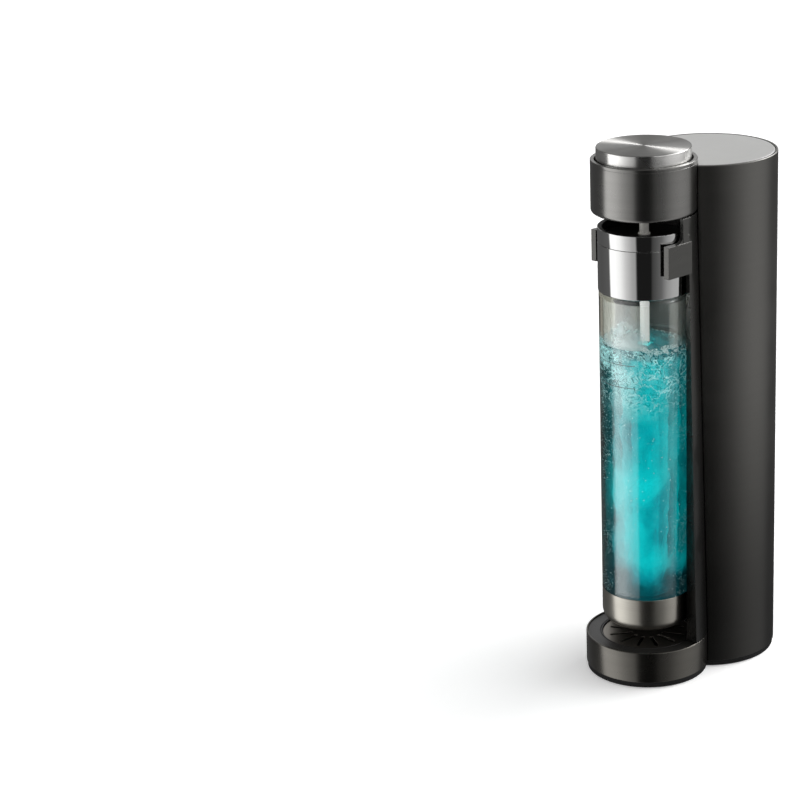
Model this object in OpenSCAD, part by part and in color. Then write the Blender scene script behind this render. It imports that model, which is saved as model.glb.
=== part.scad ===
// Countertop sparkling water machine with a press knob, a tilting bottle holder and a rear gas cylinder.
// Millimetres. The front faces -Y, the machine stands on z = 0, x = 0 is the plane of symmetry.

/* [Overall] */
// Height from the table to the top of the press knob
total_h = 440; // [430:1:470]
// Distance from the rear edge of the base to the axis of the rear cover
axis_gap = 20; // [18:0.5:28]

/* [Base] */
// Diameter of the round drip base
base_d = 100; // [98:1:110]
// Height of the base rim above the table
base_rim_z = 31.5; // [28:0.5:34]
// Wall of the base ring
base_wall = 2.5; // [2:0.1:3]
// Width of the lip around the deck of the base
base_lip_w = 1.4; // [1:0.1:1.8]
// How far the lip of the base stands above the deck
base_lip_h = 1; // [0.5:0.1:2]
// Thickness of the black bottom cover
cover_t = 4.5; // [3:0.1:6]
// How far the bottom cover stands back from the walls above it
cover_inset = 1; // [0.8:0.1:2]
// Height of the rubber feet under the bottom cover
foot_h = 1; // [0.8:0.1:3]
// Diameter of a rubber foot
foot_d = 12; // [8:1:16]

/* [Drip tray] */
// Outer diameter of the lift-out drip tray
tray_d = 76; // [70:0.5:76]
// Depth of the pocket that takes the tray
pocket_depth = 13; // [10:0.5:15]
// Wall of the tray and its pocket
tray_wall = 1.6; // [1.2:0.1:2]
// Thickness of the drip grille
grille_t = 1.5; // [1:0.1:2.5]
// How far the grille lies below the tray rim
grille_drop = 1; // [0.5:0.25:3]
// Number of slots in the drip grille
grille_slots = 12; // [8:1:16]
// Width of a grille slot
slot_w = 3.2; // [2:0.1:3.6]

/* [Head] */
// Diameter of the head
head_d = 83.5; // [80:0.5:90]
// Height of the head
head_h = 42.5; // [40:0.5:50]
// Wall of the head shell
head_wall = 2; // [1.5:0.1:3]
// Thickness of the floor of the head
head_floor_t = 3; // [2.5:0.1:4]
// Rounding of the lower edge of the head
head_round = 3; // [1:0.25:4]
// Height of the trim ring on top of the head
rim_ring_h = 3; // [2:0.25:4]
// Width of the trim ring on top of the head
rim_ring_w = 3.3; // [3:0.1:3.6]

/* [Press knob] */
// Diameter of the press knob
knob_d = 74.5; // [68:0.5:75]
// How far the knob stands above the head
knob_proud = 9.5; // [8:0.5:14]
// Thickness of the knob's top
knob_top_t = 4; // [3:0.25:5]
// Wall of the knob's skirt
knob_wall = 2; // [1.5:0.1:3]
// Length of the knob's skirt below its top
knob_skirt = 16; // [13:0.5:16]
// Travel of the knob
knob_travel = 5; // [3:0.25:5]
// Diameter of the knob stem
stem_d = 10; // [8:0.5:12]
// Wire diameter of the knob spring
spring_wire = 1.4; // [1:0.1:1.8]
// Turns of the knob spring
spring_turns = 5; // [4:1:7]

/* [Rear cover] */
// Diameter of the rear cover
rear_d = 114; // [112:1:124]
// Wall of the rear cover
rear_wall = 2; // [1.5:0.1:3]
// How far the tops of rear cover and lid lie below the rim of the head
rear_drop = 6; // [4:0.5:10]
// Thickness of the rear lid
lid_t = 2.2; // [1.6:0.1:3]
// Depth of the locating skirt under the rear lid
lid_skirt = 5; // [3:0.5:5]
// Width of the lip inside the rear cover that carries the lid
lid_lip_w = 1.5; // [1:0.1:2]

/* [Spine] */
// Radius of the trough that the bottle stands in
trough_r = 38.5; // [38.5:0.25:39]
// How far the trough reaches back to let the holder tilt
trough_shift = 4.5; // [4:0.25:6]
// Skin of the spine mouldings
skin = 2.5; // [2:0.1:3]
// How far the front edges of the spine lie behind the bottle axis
lip_back = 7; // [6:0.5:10]
// Half width of the middle panel of the spine
panel_half_w = 26; // [20:0.5:28]

/* [Fork] */
// Height of the fork arms
arm_h = 25.7; // [22:0.5:28]
// Thickness of a fork arm
arm_t = 5; // [4.5:0.1:6]
// Length of the fork arms in front of the bottle axis
arm_front = 16.5; // [12:0.5:20]
// Rounding between a fork arm and the cheek above it
arm_fillet = 6; // [3:0.5:8]
// Diameter of the trunnion pins that carry the bottle holder
trunnion_d = 5.9; // [5:0.1:7]

/* [Bottle holder] */
// Outer diameter of the chrome holder
holder_d = 73.6; // [73:0.1:74]
// Wall of the holder sleeve
sleeve_wall = 2.4; // [2:0.1:2.6]
// Height of the holder sleeve
sleeve_h = 39; // [37:0.5:42]
// Height of the holder ring on top of the sleeve
ring_h = 12; // [10:0.5:13]
// Groove between sleeve and ring
seam = 0.4; // [0.2:0.1:1]
// Gap between the head and the top of the holder ring
head_gap = 11.7; // [11:0.1:14]
// Diameter of the nozzle above the holder
nozzle_d = 7.4; // [6:0.2:9]
// Length of the dip tube below the holder cap
dip_len = 160; // [120:1:200]

/* [Bottle] */
// Outer diameter of the glass bottle
bottle_d = 72.5; // [71:0.1:73]
// Wall of the glass bottle
glass_t = 2.2; // [1.8:0.1:3]
// Thickness of the glass floor
glass_floor_t = 5; // [3:0.5:8]
// Outer diameter of the bottle neck
neck_d = 51; // [46:0.5:52]
// Height of the steel cup around the foot of the bottle
cup_h = 29.3; // [24:0.5:40]
// Wall of the steel cup
cup_wall = 1; // [0.8:0.1:1.4]
// Rounding of the foot of the steel cup
cup_round = 10; // [6:0.5:14]
// Free height between the base rim and the bottle
bottle_gap = 11; // [10.5:0.5:16]

/* [Gas cylinder] */
// Diameter of the gas cylinder
gas_d = 60; // [56:0.5:60]
// Wall of the gas cylinder
gas_wall = 3.2; // [2.5:0.1:4]
// Distance from the rear edge of the base to the gas cylinder axis
gas_back = 38; // [37:0.5:40]
// Diameter of the cylinder valve's thread
thread_d = 21; // [19:0.5:22]

/* [Lever and valve] */
// Distance from the valve pin to the lever pivot
pin_to_pivot = 22; // [18:0.5:24]
// Height of the press lever
lever_h = 5; // [4:0.5:6]
// Width of the press lever
lever_w = 12; // [9:0.5:13]
// Diameter of the lever pivot pin
pivot_d = 5; // [4:0.5:6]
// Thickness of the chassis plate
chassis_t = 3; // [2.5:0.1:3.5]
// Diameter of the valve body
valve_d = 30; // [27:0.5:32]
// Diameter of the valve pin
valve_pin_d = 3.2; // [2.4:0.2:4]

/* [Fits] */
// Running clearance around pins and shafts, on the radius
run_fit = 0.05; // [0.03:0.01:0.08]
// Clearance between pieces that lift out or slide past each other
slide_fit = 0.3; // [0.25:0.05:0.4]
// Gap between the front body and the lift-off rear cover
cover_gap = 0.4; // [0.3:0.05:0.6]

/* [Hidden] */
$fn = 96;
eps = 0.01;
over = 1;
big = 600;

// Radii and places in plan
base_r = base_d / 2;
head_r = head_d / 2;
rear_r = rear_d / 2;
knob_r = knob_d / 2;
holder_r = holder_d / 2;
bottle_r = bottle_d / 2;
tray_r = tray_d / 2;
gas_r = gas_d / 2;
thread_r = thread_d / 2;
stem_r = stem_d / 2;
neck_r = neck_d / 2;
depth = 2 * base_r + axis_gap + rear_r;
bottle_y = base_r - depth / 2;
rear_y = bottle_y + base_r + axis_gap;
gas_y = bottle_y + base_r + gas_back;

// Heights
floor_z = foot_h + cover_t;
deck_z = base_rim_z - base_lip_h;
head_top = total_h - knob_proud;
head_z = head_top - head_h;
head_in_z = head_z + head_floor_t;
ring_top = head_z - head_gap;
ring_z = ring_top - ring_h;
sleeve_top = ring_z - seam;
sleeve_z = sleeve_top - sleeve_h;
cup_z = base_rim_z + bottle_gap;
spine_h = head_z - base_rim_z;

// Fork and trunnions: the arms hold the pins at the middle of their height
arm_above_seam = 4.3;
arm_top = ring_z + arm_above_seam;
arm_z = arm_top - arm_h;
pivot_z = arm_z + arm_h / 2;
arm_side_gap = 0.6;
arm_in = holder_r + arm_side_gap;
arm_out = arm_in + arm_t;
arm_skin = 1.4;
arm_root = 2.5;
cheek_front_back = 0.4;
bulge_over = 4;
trunnion_r = trunnion_d / 2;
pin_in_gap = 0.1;
pin_end_gap = 0.2;

// Chassis plate on the head floor, with the lever above it
shelf_t = 3.5;
shelf_top = head_in_z + shelf_t;
shelf_half_w = 18;
leg_in = 9;
leg_front = 18;
shelf_end = 6;
post_gap = 0.8;
post_y = bottle_y + base_r + post_gap;
post_half_w = 20;
foot_block_t = 4.4;
foot_block_h = 10;
lug_in_gap = 1;
lug_t = 3;
elbow_h = 7;
lever_over_elbow = 1;
lever_z = head_in_z + elbow_h + knob_travel + lever_over_elbow;
lever_mid = lever_z + lever_h / 2;
lever_arm = base_r + gas_back + pin_to_pivot;
pivot_y = bottle_y + lever_arm;
lever_nose = 4;
pivot_r = pivot_d / 2;
pivot_boss_w = 2.5;
pivot_boss_r = pivot_r + pivot_boss_w;
pin_over = 1;

// Inside of the head
head_in_r = head_r - head_wall;
guide_t = 3;
guide_gap = 2;
guide_fit = 0.25;
guide_z = lever_z + lever_h + guide_gap;
guide_top = guide_z + guide_t;
ledge_w = 2.5;
ledge_t = 3;
bush_wall = 2;
bush_r = stem_r + bush_wall;
bush_over = 2;
bush_under = 1;
bush_flange_w = 0.8;
spring_gap = 0.6;
coil_steps = 14;
coil_sides = 8;
tip_r = 2.5;
tip_h = 3;
press_gap = 0.3;
rim_in_r = head_r - rim_ring_w;
rim_skirt = 5;
rim_fit = 0.15;
rim_edge = 0.6;
knob_edge = 0.8;
knob_under = total_h - knob_top_t;
window_gap = 1.5;
window_half_w = shelf_half_w + window_gap;
window_reach = 15;

// Holder inside
sleeve_in = holder_r - sleeve_wall;
ring_step = 1.2;
ring_in = sleeve_in - ring_step;
seam_depth = 1;
spigot_h = 2.4;
cap_t = 3;
cap_lift = 2;
cap_z = ring_z + cap_lift;
cap_top = cap_z + cap_t;
seal_t = 3;
seal_in_w = 5;
seal_out_w = 1;
mouth_z = cap_z - seal_t - press_gap;
nozzle_r = nozzle_d / 2;
nozzle_bore_r = 1.5;
nozzle_flange_w = 1.2;
nozzle_flange_r = nozzle_r + nozzle_flange_w;
nozzle_flange_t = 1;
nozzle_gap = 0.5;
outlet_seal_t = 1.5;
outlet_r = 4;
outlet_flange_w = 2;
nozzle_top = head_z - outlet_seal_t - nozzle_gap;
nozzle_tip_h = 1.2;
lock_t = 3.5;
lock_gap = 2.5;
lock_in = neck_r + lock_gap;
lock_drop = 22;
lock_z = mouth_z - lock_drop;
lock_top = lock_z + lock_t;
lug_reach = 4.3;
lug_h = 4;
lug_angle = 50;
notch_angle = 64;
notch_gap = 1.2;
lock_turn = 60;
band_t = 1.6;
band_h = 8;

// Bottle
cup_in = bottle_r - cup_wall;
glass_foot_r = cup_in - run_fit;
cup_floor_t = 1.2;
glass_z = cup_z + cup_floor_t;
cup_top = cup_z + cup_h;
glass_round = cup_round - cup_wall;
neck_step = 0.4;
neck_step_r = sleeve_in - slide_fit - neck_step;
shoulder_z = sleeve_z - slide_fit;
shoulder_under_lock = 2;
shoulder_h = lock_z - shoulder_under_lock - sleeve_z;
shoulder_shape = [[0.12, 0.4], [0.6, 0.8]];
inner_shoulder_drop = 4;
inner_neck_drop = 2;

// Tray pocket
pocket_r = tray_r + slide_fit;
pocket_z = deck_z - pocket_depth;
grille_top = deck_z - grille_drop;
grille_z = grille_top - grille_t;
grille_r = tray_r - tray_wall - slide_fit;
ledge_ring_w = 2;
ledge_ring_h = 3;
slot_start = 13.7;
slot_edge = 6.5;
deck_fit = 0.2;
deck_r = base_r - base_wall - deck_fit;
base_edge = 0.8;
deck_t = 2.5;
deck_under = deck_z - deck_t;
deck_edge_r = base_r - base_lip_w - deck_fit;

// Rear cover
rear_top = head_top - rear_drop;
lid_z = rear_top - lid_t;
lid_edge = 0.8;
rear_edge = 0.5;
lid_lip_t = 1.5;
rear_in = rear_r - rear_wall;
lid_r = rear_in - slide_fit;
lid_skirt_r = rear_in - lid_lip_w - slide_fit;

// Gas cylinder and valve
seat_t = 2;
seat_h = 10.5;
gas_z = floor_z + seat_t + slide_fit;
valve_drop = 18;
valve_top = head_in_z - valve_drop;
socket_h = 20;
valve_z = valve_top - socket_h;
thread_fit = 0.25;
thread_depth = 0.7;
thread_h = 27;
valve_flange_t = 5;
valve_flange_in = 1;
valve_bore_r = 2;
neck_top = valve_top - thread_h - valve_flange_t;
gas_neck_wall = 3.5;
gas_neck_r = thread_r + gas_neck_wall;
gas_neck_h = 20;
gas_neck_sink = 2;
gas_dome_z = neck_top - gas_neck_h - gas_r + gas_neck_sink;
gas_bore = thread_r - thread_depth;
gas_foot_round = 4;
plug_short = 4;
valve_neck_r = 7;
valve_neck_over = 4.5;
valve_neck_top = shelf_top + valve_neck_over;
nut_r = 11;
nut_h = 3.2;
port_drop = 10;
port_z = head_in_z - port_drop;
port_r = 2.5;
port_len = 4;
port_x = valve_d / 2 + port_len;
relief_r = 4;
relief_cap_r = 2.8;
relief_len = 9;
relief_seat = 2;
relief_flange = 1;
pin_gap = 1.5;
pin_stroke = knob_travel * pin_to_pivot / lever_arm;

// Fasteners
screw_r = 1.5;
screw_head_r = 2.8;
screw_head_h = 1.6;
cover_screw_len = 8;
screw_end_gap = 1;
screw_skin = 0.8;
head_screw_gap = 0.2;
screw_from_leg = 8;
boss_r = 3.6;
deck_boss_ring = (pocket_r + tray_wall + deck_r - base_wall) / 2;
deck_screw_angles = [200, 270, 340];
head_screw_x = (leg_in + shelf_half_w) / 2;
head_screw_y = bottle_y + leg_front + screw_from_leg;
foot_screw_x = 12;
foot_screw_y = post_y + foot_block_t / 2;
panel_screw_share = [0.2, 0.5, 0.8];

// Gas hose from the valve port to the head outlet
hose_r = 2.5;
hose_sides = 8;
hose_start_x = 11;
hose_x = 27;
hose_z = head_in_z + elbow_h;
hose_hole_r = 4.2;
elbow_mid = head_in_z + elbow_h / 2;
hose_route = [
    [hose_start_x, bottle_y, elbow_mid],
    [hose_start_x + 6, bottle_y + 1, elbow_mid + 0.2],
    [hose_x - 3, bottle_y + 10, hose_z - 2],
    [hose_x, bottle_y + 23.5, hose_z],
    [hose_x, bottle_y + 40.5, hose_z],
    [hose_x, gas_y - 31.5, hose_z - 2],
    [hose_x + 1, gas_y - 17.5, hose_z - 8],
    [hose_x + 2, gas_y - 8.5, port_z + 3],
    [hose_x + 1.5, gas_y - 3, port_z + 0.5],
    [port_x + 6, gas_y - 0.2, port_z],
    [port_x, gas_y, port_z]
];

// Rubber feet: two under the base, three under the rear cover
foot_edge_front = 4;
foot_edge_rear = 3;
foot_ring_front = base_r - cover_inset - foot_d / 2 - foot_edge_front;
foot_ring_rear = rear_r - cover_inset - foot_d / 2 - foot_edge_rear;
foot_spots = concat(
    [for (a = [225, 315]) [foot_ring_front * cos(a), bottle_y + foot_ring_front * sin(a)]],
    [for (a = [10, 90, 170]) [foot_ring_rear * cos(a), rear_y + foot_ring_rear * sin(a)]]
);

// Cylinder between two heights on an axis at [0, y]
module rod(y, z0, z1, r) {
    translate([0, y, z0]) cylinder(h = z1 - z0, r = r);
}

// Ring between two heights on an axis at [0, y]
module ring(y, z0, z1, r_in, r_out) {
    difference() {
        rod(y, z0, z1, r_out);
        rod(y, z0 - over, z1 + over, r_in);
    }
}

// Box given by its lowest and highest corner
module box(low, high) {
    translate(low) cube(high - low);
}

// Rod along X at a given y and z
module cross_rod(x0, x1, y, z, r) {
    translate([x0, y, z]) rotate([0, 90, 0]) cylinder(h = x1 - x0, r = r);
}

// Half profile of a round vessel with a rounded foot
module foot_profile(r, h, f) {
    square([r - f, h]);
    translate([0, f]) square([r, h - f]);
    intersection() {
        translate([r - f, f]) circle(f);
        square([r, h]);
    }
}

// Rings of the hose: each is square to the chord through its neighbours
function unit(v) = v / norm(v);
function tangent(p, i) = unit(p[min(i + 1, len(p) - 1)] - p[max(i - 1, 0)]);
function end_tangent(p, i) = (i == 0) ? [1, 0, 0] : (i == len(p) - 1) ? [-1, 0, 0] : tangent(p, i);
function side_of(t) = unit(cross([0, 0, 1], t));
function ring_points(p, i, r, n) =
    let (t = end_tangent(p, i), u = side_of(t), v = cross(t, u))
    [for (k = [0:n - 1]) p[i] + r * (cos(360 * k / n) * u + sin(360 * k / n) * v)];
function tube_faces(rings, n) = concat(
    [[for (k = [0:n - 1]) k]],
    [for (i = [0:rings - 2]) for (k = [0:n - 1])
        [i * n + k, (i + 1) * n + k, (i + 1) * n + (k + 1) % n, i * n + (k + 1) % n]],
    [[for (k = [n - 1:-1:0]) (rings - 1) * n + k]]
);
module tube(p, r, n) {
    polyhedron(
        points = [for (i = [0:len(p) - 1]) each ring_points(p, i, r, n)],
        faces = tube_faces(len(p), n),
        convexity = 6
    );
}

// Front body with its conical spine, grown by a gap, used to cut the rear cover
module front_core(gap) {
    rod(bottle_y, -over, base_rim_z, base_r + gap);
    translate([0, bottle_y, base_rim_z]) cylinder(h = spine_h, r1 = base_r + gap, r2 = head_r + gap);
    rod(bottle_y, head_z, total_h + over, head_r + gap);
}

// Trough of the spine, grown by a skin; top is the height of its rear bulge
module trough(grow, bulge_top) {
    r = trough_r + grow;
    rod(bottle_y, base_rim_z, head_z, r);
    rod(bottle_y + trough_shift, base_rim_z, bulge_top, r);
    box([-r, bottle_y, base_rim_z], [r, bottle_y + trough_shift, bulge_top]);
}

module spine_cone(inset) {
    translate([0, bottle_y, base_rim_z])
        cylinder(h = spine_h, r1 = base_r - inset, r2 = head_r - inset);
}

// Whole spine: outer cone in front of the rear cover, trough skin behind it
module spine_block() {
    inner_r = rear_in - cover_gap;
    bulge_top = ring_top + bulge_over;
    difference() {
        union() {
            difference() {
                spine_cone(0);
                rod(rear_y, base_rim_z - over, head_z + over, inner_r);
            }
            intersection() {
                trough(skin, head_z);
                union() {
                    spine_cone(0);
                    rod(rear_y, base_rim_z - over, head_z + over, inner_r);
                }
            }
        }
        translate([0, 0, -eps]) trough(0, bulge_top);
        rod(bottle_y, head_z - over, head_z + over, trough_r);
        difference() {
            intersection() {
                translate([0, 0, -eps]) spine_cone(skin);
                box([-big, bottle_y + lip_back + skin, 0], [big, big, big]);
            }
            trough(skin, head_z);
        }
    }
}

// Right-hand cheek with its fork arm; the left one is its mirror image
module cheek_right_half() {
    difference() {
        union() {
            intersection() {
                spine_block();
                union() {
                    box([panel_half_w, bottle_y + lip_back, 0], [big, big, big]);
                    box([panel_half_w, bottle_y + cheek_front_back, arm_top], [big, big, big]);
                }
            }
            box(
                [arm_in, bottle_y - arm_front, arm_z],
                [arm_out, bottle_y + lip_back + arm_root, arm_top]
            );
            arm_web();
        }
        cross_rod(arm_in - over, arm_out - arm_skin, bottle_y, pivot_z, trunnion_r + run_fit);
    }
}

// Rounded corner between the top of the arm and the front edge of the cheek above it
module arm_web() {
    front = bottle_y + cheek_front_back - arm_fillet;
    difference() {
        box([arm_in, front, arm_top - eps], [head_r, bottle_y + lip_back, arm_top + arm_fillet]);
        cross_rod(arm_in - over, head_r + over, front, arm_top + arm_fillet, arm_fillet);
        rod(bottle_y, arm_top + eps, arm_top + arm_fillet + over, trough_r);
    }
}

module cheek_left() {
    color("dimgray") mirror([1, 0, 0]) cheek_right_half();
}

module cheek_right() {
    color("dimgray") cheek_right_half();
}

module spine_panel() {
    color("black") difference() {
        union() {
            intersection() {
                spine_block();
                box([-panel_half_w, bottle_y + lip_back, 0], [panel_half_w, big, big]);
            }
            for (s = panel_screw_share) panel_boss(base_rim_z + s * spine_h);
        }
        for (s = panel_screw_share) translate([0, 0, base_rim_z + s * spine_h])
            panel_screw(screw_r + run_fit, post_y);
    }
}

// Boss on the back of the panel that stands against the chassis post
module panel_boss(z) {
    back = bottle_y + trough_shift + trough_r;
    difference() {
        translate([0, back, z]) rotate([-90, 0, 0]) cylinder(h = post_y - back, r = boss_r);
        rod(bottle_y + trough_shift, z - boss_r - over, z + boss_r + over, trough_r + skin / 2);
    }
}

module panel_screw(r, head_y) {
    start = bottle_y + trough_shift + trough_r + skin;
    translate([0, start, 0]) rotate([-90, 0, 0]) cylinder(h = head_y - start, r = r);
}

module panel_screws() {
    head_y = post_y + chassis_t;
    color("silver") for (s = panel_screw_share) translate([0, 0, base_rim_z + s * spine_h]) {
        panel_screw(screw_r, head_y);
        translate([0, head_y, 0]) rotate([-90, 0, 0]) cylinder(h = screw_head_h, r = screw_head_r);
    }
}

module base_shell() {
    color("dimgray") translate([0, bottle_y, 0]) rotate_extrude() polygon([
        [base_r - base_wall, floor_z],
        [base_r, floor_z],
        [base_r, base_rim_z - base_edge],
        [base_r - base_edge, base_rim_z],
        [base_r - base_lip_w, base_rim_z],
        [base_r - base_lip_w, deck_under],
        [base_r - base_wall, deck_under]
    ]);
}

module base_deck() {
    color("black") difference() {
        union() {
            ring(bottle_y, floor_z, deck_under + eps, deck_r - base_wall, deck_r);
            ring(bottle_y, deck_under, deck_z, pocket_r, deck_edge_r);
            ring(bottle_y, pocket_z - tray_wall, deck_z, pocket_r, pocket_r + tray_wall);
            rod(bottle_y, pocket_z - tray_wall, pocket_z, pocket_r + tray_wall);
            for (a = deck_screw_angles) deck_boss(a);
        }
        for (a = deck_screw_angles) at_deck_screw(a)
            translate([0, 0, floor_z - over]) cylinder(h = cover_screw_len + over, r = screw_r + run_fit);
    }
}

module at_deck_screw(a) {
    translate([deck_boss_ring * cos(a), bottle_y + deck_boss_ring * sin(a), 0]) children();
}

module deck_boss(a) {
    difference() {
        at_deck_screw(a) translate([0, 0, floor_z]) cylinder(h = deck_under - floor_z, r = boss_r);
        rod(bottle_y, pocket_z, deck_z, pocket_r + tray_wall / 2);
        ring(bottle_y, floor_z - over, deck_z, deck_r - base_wall / 2, base_r + boss_r);
    }
}

module at_cover_screws() {
    for (a = deck_screw_angles) at_deck_screw(a) children();
    for (s = [-1, 1]) translate([s * foot_screw_x, foot_screw_y, 0]) children();
}

module bottom_cover() {
    color("black") difference() {
        union() {
            rod(bottle_y, foot_h, floor_z, base_r - cover_inset);
            rod(rear_y, foot_h, floor_z, rear_r - cover_inset);
        }
        at_cover_screws() {
            translate([0, 0, foot_h - over]) cylinder(h = cover_t + 2 * over, r = screw_r + run_fit);
            translate([0, 0, foot_h - over]) cylinder(h = over + screw_head_h, r = screw_head_r + run_fit);
        }
    }
}

module cover_screws() {
    color("silver") at_cover_screws() {
        translate([0, 0, foot_h]) cylinder(h = screw_head_h, r = screw_head_r);
        translate([0, 0, foot_h + screw_head_h])
            cylinder(h = cover_t + cover_screw_len - screw_head_h - screw_end_gap, r = screw_r);
    }
}

module rubber_feet() {
    color("black") for (p = foot_spots) translate([p[0], p[1], 0]) cylinder(h = foot_h, r = foot_d / 2);
}

module drip_tray() {
    ledge_z = grille_z - ledge_ring_h;
    color("black") {
        ring(bottle_y, pocket_z, deck_z, tray_r - tray_wall, tray_r);
        rod(bottle_y, pocket_z, pocket_z + tray_wall, tray_r);
        ring(bottle_y, ledge_z, grille_z, tray_r - tray_wall - ledge_ring_w, tray_r);
    }
}

module drip_grille() {
    slot_out = grille_r - slot_edge;
    cut_h = grille_t + 2 * over;
    color("dimgray") difference() {
        rod(bottle_y, grille_z, grille_top, grille_r);
        for (k = [0:grille_slots - 1])
            translate([0, bottle_y, grille_z - over]) rotate(360 * k / grille_slots) {
                translate([slot_start, -slot_w / 2, 0]) cube([slot_out - slot_start, slot_w, cut_h]);
                for (x = [slot_start, slot_out]) translate([x, 0, 0]) cylinder(h = cut_h, r = slot_w / 2);
            }
    }
}

module head_shell() {
    wall_top = head_top - rim_ring_h;
    color("dimgray") difference() {
        union() {
            translate([0, bottle_y, head_z]) rotate_extrude() difference() {
                foot_profile(head_r, wall_top - head_z, head_round);
                translate([0, head_floor_t]) square([head_in_r, head_h]);
            }
            ring(bottle_y, guide_z - ledge_t, guide_z, head_in_r - ledge_w, head_r);
        }
        rod(bottle_y, head_z - over, head_in_z + over, outlet_r + run_fit);
        box(
            [-window_half_w, bottle_y + head_in_r - window_reach, head_in_z],
            [window_half_w, bottle_y + head_r + over, guide_z + eps]
        );
        translate([hose_x, bottle_y, hose_z]) rotate([-90, 0, 0]) cylinder(h = head_r, r = hose_hole_r);
        for (s = [-1, 1]) translate([s * head_screw_x, head_screw_y, head_z + screw_skin])
            cylinder(h = head_floor_t, r = screw_r + run_fit);
    }
}

module head_rim() {
    ring_z0 = head_top - rim_ring_h;
    color("gray") translate([0, bottle_y, 0]) rotate_extrude() polygon([
        [rim_in_r, ring_z0 - rim_skirt],
        [head_in_r - rim_fit, ring_z0 - rim_skirt],
        [head_in_r - rim_fit, ring_z0],
        [head_r, ring_z0],
        [head_r, head_top - rim_edge],
        [head_r - rim_edge, head_top],
        [rim_in_r, head_top]
    ]);
}

module guide_plate() {
    color("black") ring(bottle_y, guide_z, guide_top, bush_r + run_fit, head_in_r - guide_fit);
}

module stem_bush() {
    color("goldenrod") {
        ring(bottle_y, guide_z - bush_under, guide_top, stem_r + run_fit, bush_r);
        ring(bottle_y, guide_top, guide_top + bush_over, stem_r + run_fit, bush_r + bush_flange_w);
    }
}

// Coil spring around the stem, with one polyhedron for its turns
module knob_spring() {
    wire = spring_wire / 2;
    coil_r = bush_r + bush_flange_w + spring_gap + wire;
    z0 = guide_top + wire;
    steps = coil_steps * spring_turns;
    rise = (knob_under - wire - z0) / steps;
    turn = 360 / coil_steps;
    color("silver") polyhedron(
        points = [for (i = [0:steps]) each coil_ring(i * turn, coil_r, z0 + rise * i, wire, coil_sides)],
        faces = tube_faces(steps + 1, coil_sides),
        convexity = 10
    );
}

// Ring of wire points at angle a of the coil, in the plane through the coil axis
function coil_ring(a, coil_r, z, r, n) = [for (k = [0:n - 1])
    let (out = coil_r + r * cos(360 * k / n))
    [out * cos(a), bottle_y + out * sin(a), z + r * sin(360 * k / n)]];

module chassis() {
    back = pivot_y + shelf_end;
    lug_x = lever_w / 2 + lug_in_gap;
    color("silver") difference() {
        union() {
            box([-shelf_half_w, post_y, head_in_z], [shelf_half_w, back, shelf_top]);
            for (s = [0, 1]) mirror([s, 0, 0]) {
                box([leg_in, bottle_y + leg_front, head_in_z], [shelf_half_w, post_y, shelf_top]);
                lever_lug(lug_x);
            }
            box([-post_half_w, post_y, floor_z], [post_half_w, post_y + chassis_t, head_in_z]);
            box(
                [-post_half_w, post_y, floor_z],
                [post_half_w, post_y + foot_block_t, floor_z + foot_block_h]
            );
        }
        rod(gas_y, head_in_z - over, shelf_top + over, valve_neck_r + run_fit);
        cross_rod(-big, big, pivot_y, lever_mid, pivot_r + run_fit);
        for (s = [-1, 1]) {
            translate([s * head_screw_x, head_screw_y, head_in_z - over])
                cylinder(h = shelf_t + 2 * over, r = screw_r + run_fit);
            translate([s * foot_screw_x, foot_screw_y, floor_z - over])
                cylinder(h = cover_screw_len + over, r = screw_r + run_fit);
        }
        for (s = panel_screw_share) translate([0, post_y - over, base_rim_z + s * spine_h])
            rotate([-90, 0, 0]) cylinder(h = chassis_t + 2 * over, r = screw_r + run_fit);
    }
}

module lever_lug(x) {
    box(
        [x, pivot_y - pivot_boss_r, shelf_top],
        [x + lug_t, pivot_y + pivot_boss_r, lever_mid]
    );
    cross_rod(x, x + lug_t, pivot_y, lever_mid, pivot_boss_r);
}

module head_screws() {
    tip = head_z + screw_skin + head_screw_gap;
    color("silver") for (s = [-1, 1]) translate([s * head_screw_x, head_screw_y, 0]) {
        translate([0, 0, tip]) cylinder(h = shelf_top - tip, r = screw_r);
        translate([0, 0, shelf_top]) cylinder(h = screw_head_h, r = screw_head_r);
    }
}

module lever_pin() {
    half = lever_w / 2 + lug_in_gap + lug_t + pin_over;
    color("silver") cross_rod(-half, half, pivot_y, lever_mid, pivot_r);
}

module press_lever() {
    color("gray") difference() {
        union() {
            box(
                [-lever_w / 2, bottle_y - lever_nose, lever_z],
                [lever_w / 2, pivot_y, lever_z + lever_h]
            );
            cross_rod(-lever_w / 2, lever_w / 2, pivot_y, lever_mid, pivot_boss_r);
        }
        cross_rod(-big, big, pivot_y, lever_mid, pivot_r + run_fit);
    }
}

module valve_body() {
    color("goldenrod") difference() {
        union() {
            rod(gas_y, valve_z, head_in_z, valve_d / 2);
            rod(gas_y, head_in_z, valve_neck_top, valve_neck_r);
            cross_rod(0, port_x, gas_y, port_z, port_r);
        }
        rod(gas_y, valve_z - over, valve_top + over, thread_r + thread_fit);
        rod(gas_y, valve_top, valve_neck_top + over, valve_pin_d / 2 + run_fit);
        cross_rod(-valve_d, relief_seat - valve_d / 2, gas_y, port_z, relief_r + run_fit);
    }
}

module valve_nut() {
    color("silver") difference() {
        translate([0, gas_y, shelf_top]) cylinder(h = nut_h, r = nut_r, $fn = 6);
        rod(gas_y, shelf_top - over, shelf_top + nut_h + over, valve_neck_r + run_fit);
    }
}

module relief_valve() {
    x0 = relief_seat - valve_d / 2;
    step_x = x0 - relief_seat - relief_flange;
    color("goldenrod") {
        cross_rod(step_x, x0, gas_y, port_z, relief_r);
        cross_rod(x0 - relief_len, step_x, gas_y, port_z, relief_cap_r);
    }
}

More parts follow.
